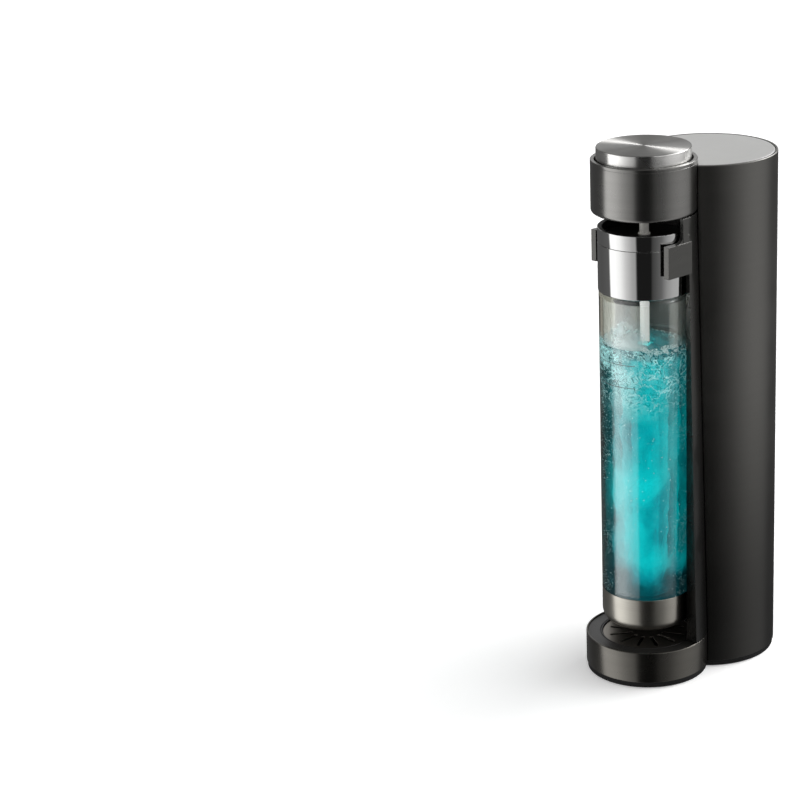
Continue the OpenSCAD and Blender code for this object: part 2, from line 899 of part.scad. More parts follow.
module valve_pin() {
    color("silver") rod(gas_y, valve_top + pin_stroke + pin_gap, lever_z - press_gap, valve_pin_d / 2);
}

module gas_hose() {
    color("black") tube(hose_route, hose_r, hose_sides);
}

module outlet_fitting() {
    color("goldenrod") difference() {
        union() {
            rod(bottle_y, head_z, head_in_z, outlet_r);
            rod(bottle_y, head_in_z, head_in_z + elbow_h, outlet_r + outlet_flange_w);
            cross_rod(0, hose_start_x, bottle_y, elbow_mid, port_r);
        }
        rod(bottle_y, head_z - over, elbow_mid, nozzle_bore_r);
    }
}

module outlet_seal() {
    color("black") ring(bottle_y, head_z - outlet_seal_t, head_z, nozzle_bore_r, outlet_r + outlet_flange_w);
}

module cylinder_seat() {
    seat_r = gas_r + slide_fit;
    color("black") {
        rod(gas_y, floor_z, floor_z + seat_t, seat_r + seat_t);
        ring(gas_y, floor_z, floor_z + seat_h, seat_r, seat_r + seat_t);
    }
}

module knob_cap() {
    color("lightgray") translate([0, bottle_y, 0]) rotate_extrude() polygon([
        [0, knob_under],
        [knob_r - knob_wall, knob_under],
        [knob_r - knob_wall, knob_under - knob_skirt],
        [knob_r, knob_under - knob_skirt],
        [knob_r, total_h - knob_edge],
        [knob_r - knob_edge, total_h],
        [0, total_h]
    ]);
}

module knob_stem() {
    tip_z = lever_z + lever_h + press_gap;
    color("silver") {
        rod(bottle_y, tip_z + tip_h, knob_under, stem_r);
        rod(bottle_y, tip_z, tip_z + tip_h, tip_r);
    }
}

module gas_cylinder() {
    inner = gas_r - gas_wall;
    color("lightgray") translate([0, gas_y, 0]) rotate_extrude() difference() {
        union() {
            translate([0, gas_z]) foot_profile(gas_r, gas_dome_z - gas_z, gas_foot_round);
            intersection() {
                translate([0, gas_dome_z]) circle(gas_r);
                translate([0, gas_dome_z]) square(gas_r);
            }
            translate([0, gas_dome_z]) square([gas_neck_r, neck_top - gas_dome_z]);
        }
        translate([0, gas_z + gas_wall]) square([inner, gas_dome_z - gas_z - gas_wall]);
        intersection() {
            translate([0, gas_dome_z]) circle(inner);
            translate([0, gas_dome_z]) square(inner);
        }
        translate([0, gas_dome_z]) square([gas_bore + run_fit, neck_top - gas_dome_z + over]);
    }
}

module cylinder_valve() {
    flange_top = neck_top + valve_flange_t;
    plug_z = neck_top - gas_neck_h + plug_short;
    color("goldenrod") difference() {
        union() {
            rod(gas_y, neck_top, flange_top, gas_neck_r - valve_flange_in);
            rod(gas_y, flange_top, valve_top, thread_r);
            rod(gas_y, plug_z, neck_top, gas_bore);
        }
        rod(gas_y, plug_z - over, valve_top + over, valve_bore_r);
    }
}

module rear_cover() {
    color("dimgray") difference() {
        translate([0, rear_y, 0]) rotate_extrude() polygon([
            [rear_in, floor_z],
            [rear_r, floor_z],
            [rear_r, rear_top - rear_edge],
            [rear_r - rear_edge, rear_top],
            [rear_in, rear_top],
            [rear_in, lid_z],
            [rear_in - lid_lip_w, lid_z],
            [rear_in - lid_lip_w, lid_z - lid_lip_t],
            [rear_in, lid_z - lid_lip_t - lid_lip_w]
        ]);
        front_core(cover_gap);
    }
}

module rear_lid() {
    color("silver") difference() {
        translate([0, rear_y, 0]) rotate_extrude() polygon([
            [0, lid_z],
            [lid_skirt_r - rear_wall, lid_z],
            [lid_skirt_r - rear_wall, lid_z - lid_skirt],
            [lid_skirt_r, lid_z - lid_skirt],
            [lid_skirt_r, lid_z],
            [lid_r, lid_z],
            [lid_r, rear_top - lid_edge],
            [lid_r - lid_edge, rear_top],
            [0, rear_top]
        ]);
        front_core(cover_gap);
    }
}

module holder_sleeve() {
    color("lightgray") difference() {
        ring(bottle_y, sleeve_z, sleeve_top, sleeve_in, holder_r);
        cross_rod(-big, big, bottle_y, pivot_z, trunnion_r + run_fit / 2);
    }
}

module holder_ring() {
    color("lightgray") {
        ring(bottle_y, ring_z, ring_top, ring_in, holder_r);
        ring(bottle_y, sleeve_top, ring_z, ring_in, holder_r - seam_depth);
        ring(bottle_y, sleeve_top - spigot_h, sleeve_top, ring_in, sleeve_in - run_fit);
    }
}

module holder_cap() {
    color("black") ring(bottle_y, cap_z, cap_top, nozzle_r + run_fit, ring_in - run_fit);
}

module lock_ring() {
    color("black") difference() {
        ring(bottle_y, lock_z, lock_top, lock_in, sleeve_in - run_fit);
        for (s = [0, 180]) translate([0, bottle_y, lock_z - over]) rotate(s + lock_turn - notch_angle / 2)
            rotate_extrude(angle = notch_angle) square([neck_r + lug_reach + notch_gap, lock_t + 2 * over]);
    }
}

module bottle_seal() {
    color("black") ring(bottle_y, cap_z - seal_t, cap_z, neck_r - seal_in_w, neck_r + seal_out_w);
}

module nozzle() {
    color("gainsboro") difference() {
        union() {
            rod(bottle_y, cap_z, nozzle_top - nozzle_tip_h, nozzle_r);
            translate([0, bottle_y, nozzle_top - nozzle_tip_h])
                cylinder(h = nozzle_tip_h, r1 = nozzle_r, r2 = nozzle_r - nozzle_tip_h);
            rod(bottle_y, cap_top, cap_top + nozzle_flange_t, nozzle_flange_r);
        }
        rod(bottle_y, cap_z - over, nozzle_top + over, nozzle_bore_r);
    }
}

module dip_tube() {
    color("gainsboro") ring(bottle_y, cap_z - dip_len, cap_z, nozzle_bore_r, nozzle_r);
}

module trunnion_pins() {
    color("silver") for (s = [0, 1]) mirror([s, 0, 0])
        cross_rod(sleeve_in + pin_in_gap, arm_out - arm_skin - pin_end_gap, bottle_y, pivot_z, trunnion_r);
}

module bottle_vessel() {
    top_r = neck_r + glass_t;
    fall = neck_step_r - top_r;
    neck_z = sleeve_z + shoulder_h;
    inner_r = glass_foot_r - glass_t;
    inner_z = glass_z + glass_floor_t;
    inner_top = shoulder_z - inner_shoulder_drop;
    inner_neck_z = neck_z - inner_neck_drop;
    color("lightcyan", 0.5) translate([0, bottle_y, 0]) rotate_extrude() difference() {
        union() {
            translate([0, glass_z]) foot_profile(glass_foot_r, cup_top - glass_z, glass_round);
            translate([0, cup_top]) square([bottle_r, shoulder_z - cup_top]);
            translate([0, shoulder_z]) square([neck_step_r, slide_fit]);
            polygon([
                [0, sleeve_z],
                [neck_step_r, sleeve_z],
                for (p = shoulder_shape) [neck_step_r - fall * p[0], sleeve_z + shoulder_h * p[1]],
                [neck_r, neck_z],
                [0, neck_z]
            ]);
            translate([0, neck_z]) square([neck_r, mouth_z - neck_z]);
        }
        translate([0, inner_z]) foot_profile(inner_r, inner_top - inner_z, glass_round);
        polygon([
            [0, inner_top - eps],
            [inner_r, inner_top - eps],
            [neck_r - glass_t, inner_neck_z],
            [0, inner_neck_z]
        ]);
        translate([0, inner_neck_z - eps]) square([neck_r - glass_t, mouth_z - inner_neck_z + over]);
    }
}

module neck_band() {
    lug_z = lock_top + press_gap;
    r0 = neck_r + run_fit;
    color("silver") {
        ring(bottle_y, lug_z, lug_z + band_h, r0, r0 + band_t);
        for (s = [0, 180]) translate([0, bottle_y, lug_z]) rotate(s - lug_angle / 2)
            rotate_extrude(angle = lug_angle) translate([r0 + band_t / 2, 0])
                square([neck_r + lug_reach - r0 - band_t / 2, lug_h]);
    }
}

module bottle_cup() {
    color("silver") translate([0, bottle_y, 0]) rotate_extrude() difference() {
        translate([0, cup_z]) foot_profile(bottle_r, cup_h, cup_round);
        translate([0, glass_z]) foot_profile(cup_in, cup_h, glass_round);
    }
}

base_shell();
base_deck();
bottom_cover();
rubber_feet();
cover_screws();
spine_panel();
panel_screws();
cheek_left();
cheek_right();
head_shell();
head_rim();
guide_plate();
stem_bush();
knob_spring();
chassis();
head_screws();
lever_pin();
valve_body();
valve_nut();
relief_valve();
gas_hose();
outlet_fitting();
outlet_seal();
cylinder_seat();
knob_cap();
knob_stem();
press_lever();
valve_pin();
gas_cylinder();
cylinder_valve();
rear_cover();
rear_lid();
drip_tray();
drip_grille();
holder_sleeve();
holder_ring();
holder_cap();
lock_ring();
bottle_seal();
nozzle();
dip_tube();
trunnion_pins();
bottle_vessel();
neck_band();
bottle_cup();
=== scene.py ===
"""Dressed scene of a countertop sparkling water machine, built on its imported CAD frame.

Sizes of pieces are in millimetres, and MM turns them into Blender's metres.
"""

import logging
import math
import random
from collections.abc import Iterator, Sequence
from dataclasses import dataclass, replace
from enum import Enum

import bmesh
import bpy
from mathutils import Matrix, Vector, noise


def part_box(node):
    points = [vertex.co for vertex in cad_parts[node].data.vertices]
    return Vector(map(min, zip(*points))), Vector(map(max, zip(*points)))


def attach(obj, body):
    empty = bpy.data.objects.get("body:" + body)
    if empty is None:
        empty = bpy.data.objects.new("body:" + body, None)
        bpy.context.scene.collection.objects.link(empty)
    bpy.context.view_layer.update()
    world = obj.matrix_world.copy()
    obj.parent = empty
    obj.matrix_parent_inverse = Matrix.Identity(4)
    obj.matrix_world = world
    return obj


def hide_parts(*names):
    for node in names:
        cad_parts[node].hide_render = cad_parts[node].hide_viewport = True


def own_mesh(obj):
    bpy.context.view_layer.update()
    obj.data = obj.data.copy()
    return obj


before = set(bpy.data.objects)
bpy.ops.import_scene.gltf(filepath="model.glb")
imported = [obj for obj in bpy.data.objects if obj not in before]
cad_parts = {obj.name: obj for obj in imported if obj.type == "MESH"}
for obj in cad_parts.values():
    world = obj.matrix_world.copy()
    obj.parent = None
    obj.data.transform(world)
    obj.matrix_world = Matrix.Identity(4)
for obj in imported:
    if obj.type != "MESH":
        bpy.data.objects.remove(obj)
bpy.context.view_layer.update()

Colour = tuple[float, float, float]
Point = tuple[float, float]
Stops = tuple[Point, ...]
Node = bpy.types.Node
Socket = bpy.types.NodeSocket
Feed = Socket | float | tuple[float, ...]
Inputs = dict[str | int, Feed]
Material = bpy.types.Material
Piece = bpy.types.Object
Ring = list[bmesh.types.BMVert]

LOG = logging.getLogger("water_machine")
MM = 0.001
BOTTLE_Y = -38.5
REAR_Y = 31.5
GAS_Y = 49.5
FULL_TURN = 2 * math.pi
UNIT: Point = (0.0, 1.0)
NOISE_RANGE: Point = (0.3, 0.7)
BLACK: Colour = (0.0, 0.0, 0.0)
WHITE: Colour = (1.0, 1.0, 1.0)
SWELL_LEAN = -0.07
BROAD_WAVE: Point = (0.004, 70.0)
FINE_WAVE: Point = (0.0015, 300.0)


class Body(Enum):
    """Bodies of the frame that new pieces ride on."""

    MACHINE = "machine_body"
    KNOB = "press_knob"
    TRAY = "tray"
    HOLDER = "holder"
    BOTTLE = "bottle"


class Slot(Enum):
    """Material slots of the record."""

    GUNMETAL = "gunmetal"
    LID = "lid_silver"
    SPUN = "spun_aluminium"
    PLASTIC = "black_plastic"
    RUBBER = "rubber"
    STEEL = "steel"
    GRILLE = "grille_steel"
    BRASS = "brass"
    GAS = "gas_aluminium"
    CHROME = "chrome"
    TUBE = "tube_grey"
    GLASS = "glass"
    CUP = "cup_steel"


def scaled(colour: Colour, factor: float, lift: float = 0.0) -> Colour:
    """Scale a colour and lift it, with no channel above 1."""
    return tuple(min(1.0, channel * factor + lift) for channel in colour)


class Bench:
    """Short calls for adding and wiring the nodes of one tree."""

    def __init__(self, tree: bpy.types.NodeTree) -> None:
        """Keep the tree that the nodes go into."""
        self.tree = tree

    def node(self, kind: str, inputs: Inputs | None = None, **settings: object) -> Node:
        """Add one node.

        Args:
            kind: Node type without its ShaderNode prefix.
            inputs: Values or sockets for its inputs, by name or index.
            settings: Attributes of the node itself.

        Returns:
            The new node.
        """
        made = self.tree.nodes.new("ShaderNode" + kind)
        for key, value in settings.items():
            setattr(made, key, value)
        self.fill(made, inputs or {})
        return made

    def group(self, tree: bpy.types.NodeTree, inputs: Inputs) -> Node:
        """Place a shared node group with its values in this material."""
        return self.node("Group", inputs, node_tree=tree)

    def fill(self, node: Node, inputs: Inputs) -> None:
        """Fill several inputs of a node, by name or index."""
        for key, value in inputs.items():
            self.feed(node.inputs[key], value)

    def feed(self, socket: Socket, value: Feed) -> None:
        """Link a socket to another one, or set its constant.

        Args:
            socket: Input to fill.
            value: Output socket, number, vector or colour.
        """
        if isinstance(value, Socket):
            self.tree.links.new(value, socket)
        elif isinstance(value, tuple) and len(value) == 3 and socket.type == "RGBA":
            socket.default_value = (*value, 1.0)
        else:
            socket.default_value = value

    def math(self, operation: str, *values: Feed, clamp: bool = False) -> Socket:
        """Combine numbers.

        Args:
            operation: Name of the operation.
            values: Operands in order.
            clamp: Whether the result is held between 0 and 1.

        Returns:
            The result socket.
        """
        made = self.node("Math", dict(enumerate(values)), operation=operation, use_clamp=clamp)
        return made.outputs[0]

    def times(self, first: Feed, second: Feed) -> Socket:
        """Multiply two numbers."""
        return self.math("MULTIPLY", first, second)

    def less(self, first: Feed, second: Feed, clamp: bool = False) -> Socket:
        """Take the second number from the first."""
        return self.math("SUBTRACT", first, second, clamp=clamp)

    def spread(self, value: Feed, old: Point, new: Point, smooth: bool = False) -> Socket:
        """Carry a value from one range to another.

        Args:
            value: Number to carry over.
            old: Range that it comes from.
            new: Range that it goes to.
            smooth: Whether the ends are eased.

        Returns:
            The result socket.
        """
        made = self.node(
            "MapRange",
            {"Value": value, "From Min": old[0], "From Max": old[1], "To Min": new[0], "To Max": new[1]},
            interpolation_type="SMOOTHSTEP" if smooth else "LINEAR",
        )
        return made.outputs["Result"]

    def by_height(self, height: Feed, start: float, end: float, new: Point = UNIT) -> Socket:
        """Ease from one value to another between two heights in millimetres."""
        return self.spread(height, (start * MM, end * MM), new, smooth=True)

    def mix(self, share: Feed, first: Feed, second: Feed) -> Socket:
        """Mix two colours.

        Args:
            share: Share of the second colour.
            first: First colour.
            second: Second colour.

        Returns:
            The colour socket.
        """
        made = self.node("Mix", {0: share, 6: first, 7: second}, data_type="RGBA", blend_type="MIX")
        return made.outputs[2]

    def ramp(self, value: Feed, stops: Sequence[tuple[float, Colour]], ease: str = "LINEAR") -> Socket:
        """Turn a number into a colour.

        Args:
            value: Number from 0 to 1.
            stops: Positions and colours.
            ease: Interpolation between the stops.

        Returns:
            The colour socket.
        """
        made = self.node("ValToRGB", {0: value})
        band = made.color_ramp
        band.interpolation = ease
        while len(band.elements) < len(stops):
            band.elements.new(0.5)
        for element, (place, colour) in zip(band.elements, stops):
            element.position = place
            element.color = (*colour, 1.0)
        return made.outputs["Color"]

    def grey_ramp(self, value: Feed, stops: Sequence[Point]) -> Socket:
        """Turn a number into another one along a ramp of stops."""
        return self.ramp(value, [(place, (level, level, level)) for place, level in stops])

    def place(self, scale: tuple[float, float, float] = (1.0, 1.0, 1.0)) -> Socket:
        """Give the point on the object, stretched along each axis."""
        coordinates = self.node("TexCoord").outputs["Object"]
        return self.node("VectorMath", {0: coordinates, 1: scale}, operation="MULTIPLY").outputs["Vector"]

    def height(self) -> Socket:
        """Give the height of the point on the object."""
        return self.node("SeparateXYZ", {0: self.place()}).outputs["Z"]

    def turn(self) -> Socket:
        """Give the point's place round the bottle axis, from 0 to 1, with the front at a quarter.

        Returns:
            The number socket.
        """
        point = self.node("SeparateXYZ", {0: self.place()})
        depth = self.less(point.outputs["Y"], BOTTLE_Y * MM)
        return self.spread(self.math("ARCTAN2", depth, point.outputs["X"]), (-math.pi, math.pi), UNIT)

    def clouds(self, at: Feed, scale: Feed, detail: float, **more: Feed) -> Socket:
        """Give cloudy noise at a point."""
        return self.node("TexNoise", {"Vector": at, "Scale": scale, "Detail": detail, **more}).outputs[0]

    def bump(self, strength: float, distance: float, height: Feed, **base: Feed) -> Socket:
        """Give the normal of a relief, on top of a base normal if there is one."""
        inputs = {"Strength": strength, "Distance": distance, "Height": height, **base}
        return self.node("Bump", inputs).outputs["Normal"]


class Effects:
    """Shader node groups that several finishes share, each made once."""

    EDGE_FACING: Point = (0.99, 0.8)
    BAND_SCALE = 0.07
    BAND_SHARE = 0.5
    LINE_RANGE: Point = (0.45, 1.05)

    def __init__(self) -> None:
        """Build every group."""
        self.soft_edge = self._soft_edge()
        self.turning = self._turning()
        self.grain = self._grain()
        self.handling = self._handling()
        self.shade = self._shade()

    @staticmethod
    def _start(name: str, inputs: dict[str, float], outputs: dict[str, str]) -> tuple[Bench, Node, Node]:
        """Make an empty group with its sockets.

        Args:
            name: Name of the group.
            inputs: Number inputs and their usual values.
            outputs: Outputs and their kinds, Float or Vector.

        Returns:
            Its bench, its input node and its output node.
        """
        tree = bpy.data.node_groups.new(name, "ShaderNodeTree")
        for key, value in inputs.items():
            made = tree.interface.new_socket(key, in_out="INPUT", socket_type="NodeSocketFloat")
            made.default_value = value
        for key, kind in outputs.items():
            tree.interface.new_socket(key, in_out="OUTPUT", socket_type="NodeSocket" + kind)
        return Bench(tree), tree.nodes.new("NodeGroupInput"), tree.nodes.new("NodeGroupOutput")

    def _soft_edge(self) -> bpy.types.NodeTree:
        """Round the shading of sharp edges and mask them.

        Returns:
            The group, with a normal and an edge mask.
        """
        outputs = {"Normal": "Vector", "Mask": "Float"}
        bench, given, out = self._start("soft_edge", {"Radius": 0.0004}, outputs)
        rounded = bench.node("Bevel", {"Radius": given.outputs["Radius"]}, samples=4).outputs["Normal"]
        flat = bench.node("NewGeometry").outputs["Normal"]
        facing = bench.node("VectorMath", {0: rounded, 1: flat}, operation="DOT_PRODUCT").outputs["Value"]
        bench.fill(out, {"Normal": rounded, "Mask": bench.spread(facing, self.EDGE_FACING, UNIT)})
        return bench.tree

    def _turning(self) -> bpy.types.NodeTree:
        """Fine lines that run round a vertical axis, as a lathe or a brush leaves them.

        Returns:
            The group, with a tone and a height.
        """
        bench, given, out = self._start(
            "turning_lines", {"Axis": BOTTLE_Y * MM, "Density": 3000.0}, {"Tone": "Float", "Height": "Float"}
        )
        point = bench.node("SeparateXYZ", {0: bench.place()})
        depth = bench.less(point.outputs["Y"], given.outputs["Axis"])
        squares = (bench.math("POWER", side, 2.0) for side in (point.outputs["X"], depth))
        radius = bench.math("SQRT", bench.math("ADD", *squares))
        along = bench.times(bench.math("ADD", radius, point.outputs["Z"]), given.outputs["Density"])
        broad = bench.times(along, self.BAND_SCALE)
        lines, bands = (
            bench.node(
                "TexNoise", {"W": at, "Scale": 1.0, "Detail": detail}, noise_dimensions="1D"
            ).outputs[0]
            for at, detail in ((along, 3.0), (broad, 1.0))
        )
        both = bench.math("ADD", lines, bench.times(bands, self.BAND_SHARE))
        bench.fill(out, {"Tone": bench.spread(both, self.LINE_RANGE, UNIT), "Height": lines})
        return bench.tree

    def _grain(self) -> bpy.types.NodeTree:
        """Fine grain of a moulded, cast or coated surface.

        Returns:
            The group, with a tone and a height.
        """
        bench, given, out = self._start("fine_grain", {"Scale": 1500.0}, {"Tone": "Float", "Height": "Float"})
        scale = given.outputs["Scale"]
        specks = bench.clouds(bench.place(), scale, 2.0)
        cells = bench.node("TexVoronoi", {"Vector": bench.place(), "Scale": scale}).outputs["Distance"]
        tone = bench.spread(specks, NOISE_RANGE, UNIT)
        bench.fill(out, {"Tone": tone, "Height": bench.math("ADD", specks, cells)})
        return bench.tree

    def _handling(self) -> bpy.types.NodeTree:
        """Broad, faint clouds such as wiping and handling leave.

        Returns:
            The group, with a tone.
        """
        bench, given, out = self._start("handling", {"Scale": 20.0}, {"Tone": "Float"})
        marks = bench.clouds(bench.place(), given.outputs["Scale"], 4.0, Distortion=0.6)
        bench.fill(out, {"Tone": bench.spread(marks, NOISE_RANGE, UNIT)})
        return bench.tree

    def _shade(self) -> bpy.types.NodeTree:
        """Painted shade that deepens towards the floor.

        Returns:
            The group, with a tone that is 1 where nothing is shaded.
        """
        usual = {"Low": 0.03, "High": 0.3, "Least": 0.4}
        bench, given, out = self._start("painted_floor_shade", usual, {"Tone": "Float"})
        limits = {"From Min": "Low", "From Max": "High", "To Min": "Least"}
        inputs = {key: given.outputs[name] for key, name in limits.items()}
        eased = bench.node(
            "MapRange", {"Value": bench.height(), **inputs}, interpolation_type="SMOOTHSTEP"
        )
        bench.fill(out, {"Tone": eased.outputs["Result"]})
        return bench.tree


class Desk(Bench):
    """Bench of one material, with its Principled shader and the shared effects."""

    def __init__(self, material: Material, effects: Effects | None) -> None:
        """Start from the nodes that every new material has.

        Args:
            material: The material.
            effects: Shared node groups, if it uses any.
        """
        super().__init__(material.node_tree)
        self.effects = effects
        self.shader = self.tree.nodes["Principled BSDF"]
        self.output = self.tree.nodes["Material Output"]

    def shade(self, inputs: Inputs) -> None:
        """Fill inputs of the shader, by name."""
        self.fill(self.shader, inputs)


@dataclass(frozen=True)
class Finish:
    """Common part of every finish."""

    name: str

    def build(self, effects: Effects | None = None) -> Material:
        """Make the material.

        Args:
            effects: Shared node groups, if it uses any.

        Returns:
            The material.
        """
        material = bpy.data.materials.new(self.name)
        material.use_nodes = True
        self.wire(Desk(material, effects))
        return material

    def wire(self, bench: Desk) -> None:
        """Wire the material.

        Args:
            bench: Bench of the material.
        """
        raise NotImplementedError


@dataclass(frozen=True)
class Surface(Finish):
    """Opaque surface with softened edges, faint handling marks and a fine relief."""

    colour: Colour
    roughness: float
    vary: float = 0.05
    bump: float = 0.05
    depth: float = 0.0001
    clouds: float = 24.0
    edge_radius: float = 0.0004

    def skin(self, bench: Desk, height: Socket, normal: Socket) -> None:
        """Wire gloss and relief.

        Args:
            bench: Bench of the material.
            height: Height of the relief.
            normal: Normal of the softened edges.
        """
        marks = bench.group(bench.effects.handling, {"Scale": self.clouds}).outputs["Tone"]
        gloss = (self.roughness - self.vary, self.roughness + self.vary)
        relief = bench.bump(self.bump, self.depth, height, Normal=normal)
        bench.shade({"Roughness": bench.spread(marks, UNIT, gloss), "Normal": relief})


@dataclass(frozen=True)
class Metal(Surface):
    """Bare or coated metal with turning lines, wear and painted highlight at edges, optional painted floor
    shade.
    """

    lines: float = 3000.0
    line_share: float = 0.2
    # Colour that edges lighten to: partly wear, partly a painted edge highlight.
    edge: Colour = (0.6, 0.6, 0.6)
    edge_wear_and_highlight_share: float = 0.3
    anisotropic: float = 0.0
    brush_turn: float = 0.25
    axis_y: float = BOTTLE_Y
    metallic: float = 1.0
    least: float = 1.0

    def wire(self, bench: Desk) -> None:
        """Wire the material.

        Args:
            bench: Bench of the material.
        """
        edge = bench.group(bench.effects.soft_edge, {"Radius": self.edge_radius})
        lines = bench.group(bench.effects.turning, {"Axis": self.axis_y * MM, "Density": self.lines})
        dark, light = (scaled(self.colour, 1.0 + share) for share in (-self.line_share, self.line_share))
        toned = bench.mix(lines.outputs["Tone"], dark, light)
        # Edges lighten towards the edge colour, partly as wear and partly as a painted highlight.
        colour = bench.mix(bench.times(edge.outputs["Mask"], self.edge_wear_and_highlight_share), toned, self.edge)
        # Painted shade: the colour darkens towards the floor, down to the least share.
        if self.least < 1.0:
            shade = bench.group(bench.effects.shade, {"Least": self.least})
            colour = bench.mix(shade.outputs["Tone"], BLACK, colour)
        bench.shade({"Base Color": colour, "Metallic": self.metallic})
        self.skin(bench, lines.outputs["Height"], edge.outputs["Normal"])
        if self.anisotropic:
            tangent = bench.node("Tangent", direction_type="RADIAL", axis="Z").outputs["Tangent"]
            brushed = {"Anisotropic": self.anisotropic, "Anisotropic Rotation": self.brush_turn}
            bench.shade({**brushed, "Tangent": tangent})


@dataclass(frozen=True)
class Moulded(Surface):
    """Moulded plastic or rubber with a fine grain."""

    vary: float = 0.06
    bump: float = 0.15
    depth: float = 0.0002
    clouds: float = 30.0
    scale: float = 1500.0
    paler: float = 1.5
    lift: float = 0.004
    specular: float = 0.5
    glow: float = 0.0

    def wire(self, bench: Desk) -> None:
        """Wire the material.

        Args:
            bench: Bench of the material.
        """
        edge = bench.group(bench.effects.soft_edge, {"Radius": self.edge_radius})
        grain = bench.group(bench.effects.grain, {"Scale": self.scale})
        toned = bench.mix(grain.outputs["Tone"], self.colour, scaled(self.colour, self.paler, self.lift))
        bench.shade({"Base Color": toned, "Specular IOR Level": self.specular})
        self.skin(bench, grain.outputs["Height"], edge.outputs["Normal"])
        # Painted glow: emission that makes the part look lit, though it is no lamp.
        if self.glow:
            bench.shade({"Emission Color": toned, "Emission Strength": self.glow})


@dataclass(frozen=True)
class Clear(Finish):
    """Clear stuff that lets light through to what is behind it."""

    tint: Colour
    shade: Colour
    clouds: float
    roughest: float
    relief: Point
    ior: float
    specular: float

    def ripple(self, bench: Bench, marks: Socket) -> Socket:
        """Give the height of the surface's ripples, which follow its marks."""
        return marks

    def wire(self, bench: Desk) -> None:
        """Wire the material.

        Args:
            bench: Bench of the material.
        """
        marks = bench.group(bench.effects.handling, {"Scale": self.clouds}).outputs["Tone"]
        bench.shade({
            "Base Color": self.tint,
            "Roughness": bench.spread(marks, UNIT, (0.0, self.roughest)),
            "Normal": bench.bump(*self.relief, self.ripple(bench, marks)),
            "Transmission Weight": 1.0,
            "IOR": self.ior,
            "Specular IOR Level": self.specular,
        })
        clear = bench.node("BsdfTransparent", {"Color": self.shade})
        shadow = bench.node("LightPath").outputs["Is Shadow Ray"]
        both = bench.node("MixShader", {0: shadow, 1: bench.shader.outputs[0], 2: clear.outputs[0]})
        bench.fill(bench.output, {"Surface": both.outputs[0]})


@dataclass(frozen=True)
class ClearGlass(Clear):
    """Clear bottle glass with upright streaks of gloss, and a coat stronger at chosen sides as painted
    reflection.
    """

    tint: Colour = (0.96, 0.985, 0.98)
    shade: Colour = (0.93, 0.95, 0.95)
    clouds: float = 40.0
    roughest: float = 0.02
    relief: Point = (0.03, 0.0005)
    ior: float = 1.3
    specular: float = 0.07
    coat_ior: float = 1.8
    drawn: tuple[float, float, float] = (60.0, 60.0, 4.0)
    gloss: Stops = (
        (0.0, 0.1), (0.2, 0.05), (0.245, 0.1), (0.262, 0.4), (0.29, 0.58), (0.32, 0.58), (0.35, 0.36),
        (0.38, 0.08), (0.42, 0.03), (0.48, 0.05), (0.505, 0.45), (0.54, 0.4), (0.6, 0.1), (1.0, 0.1),
    )

    def ripple(self, bench: Bench, marks: Socket) -> Socket:
        """Give the height of the long ripples that drawing leaves in the glass."""
        return bench.clouds(bench.place(self.drawn), 1.0, 1.0)

    def wire(self, bench: Desk) -> None:
        """Wire the material.

        Args:
            bench: Bench of the material.
        """
        super().wire(bench)
        # Painted reflection: the coat is stronger at chosen sides round the bottle.
        coat = bench.grey_ramp(bench.turn(), self.gloss)
        bench.shade({"Coat Weight": coat, "Coat IOR": self.coat_ior})


@dataclass(frozen=True)
class Water(Clear):
    """Clear teal water that darkens with the depth of what is seen through it."""

    tint: Colour = (0.93, 0.99, 0.99)
    shade: Colour = WHITE
    clouds: float = 90.0
    roughest: float = 0.03
    relief: Point = (0.2, 0.0006)
    ior: float = 1.33
    specular: float = 0.06
    dye: Colour = (0.0, 0.78, 0.8)
    density: float = 130.0

    def wire(self, bench: Desk) -> None:
        """Wire the material.

        Args:
            bench: Bench of the material.
        """
        super().wire(bench)
        depth = bench.node("VolumeAbsorption", {"Color": self.dye, "Density": self.density})
        bench.fill(bench.output, {"Volume": depth.outputs[0]})


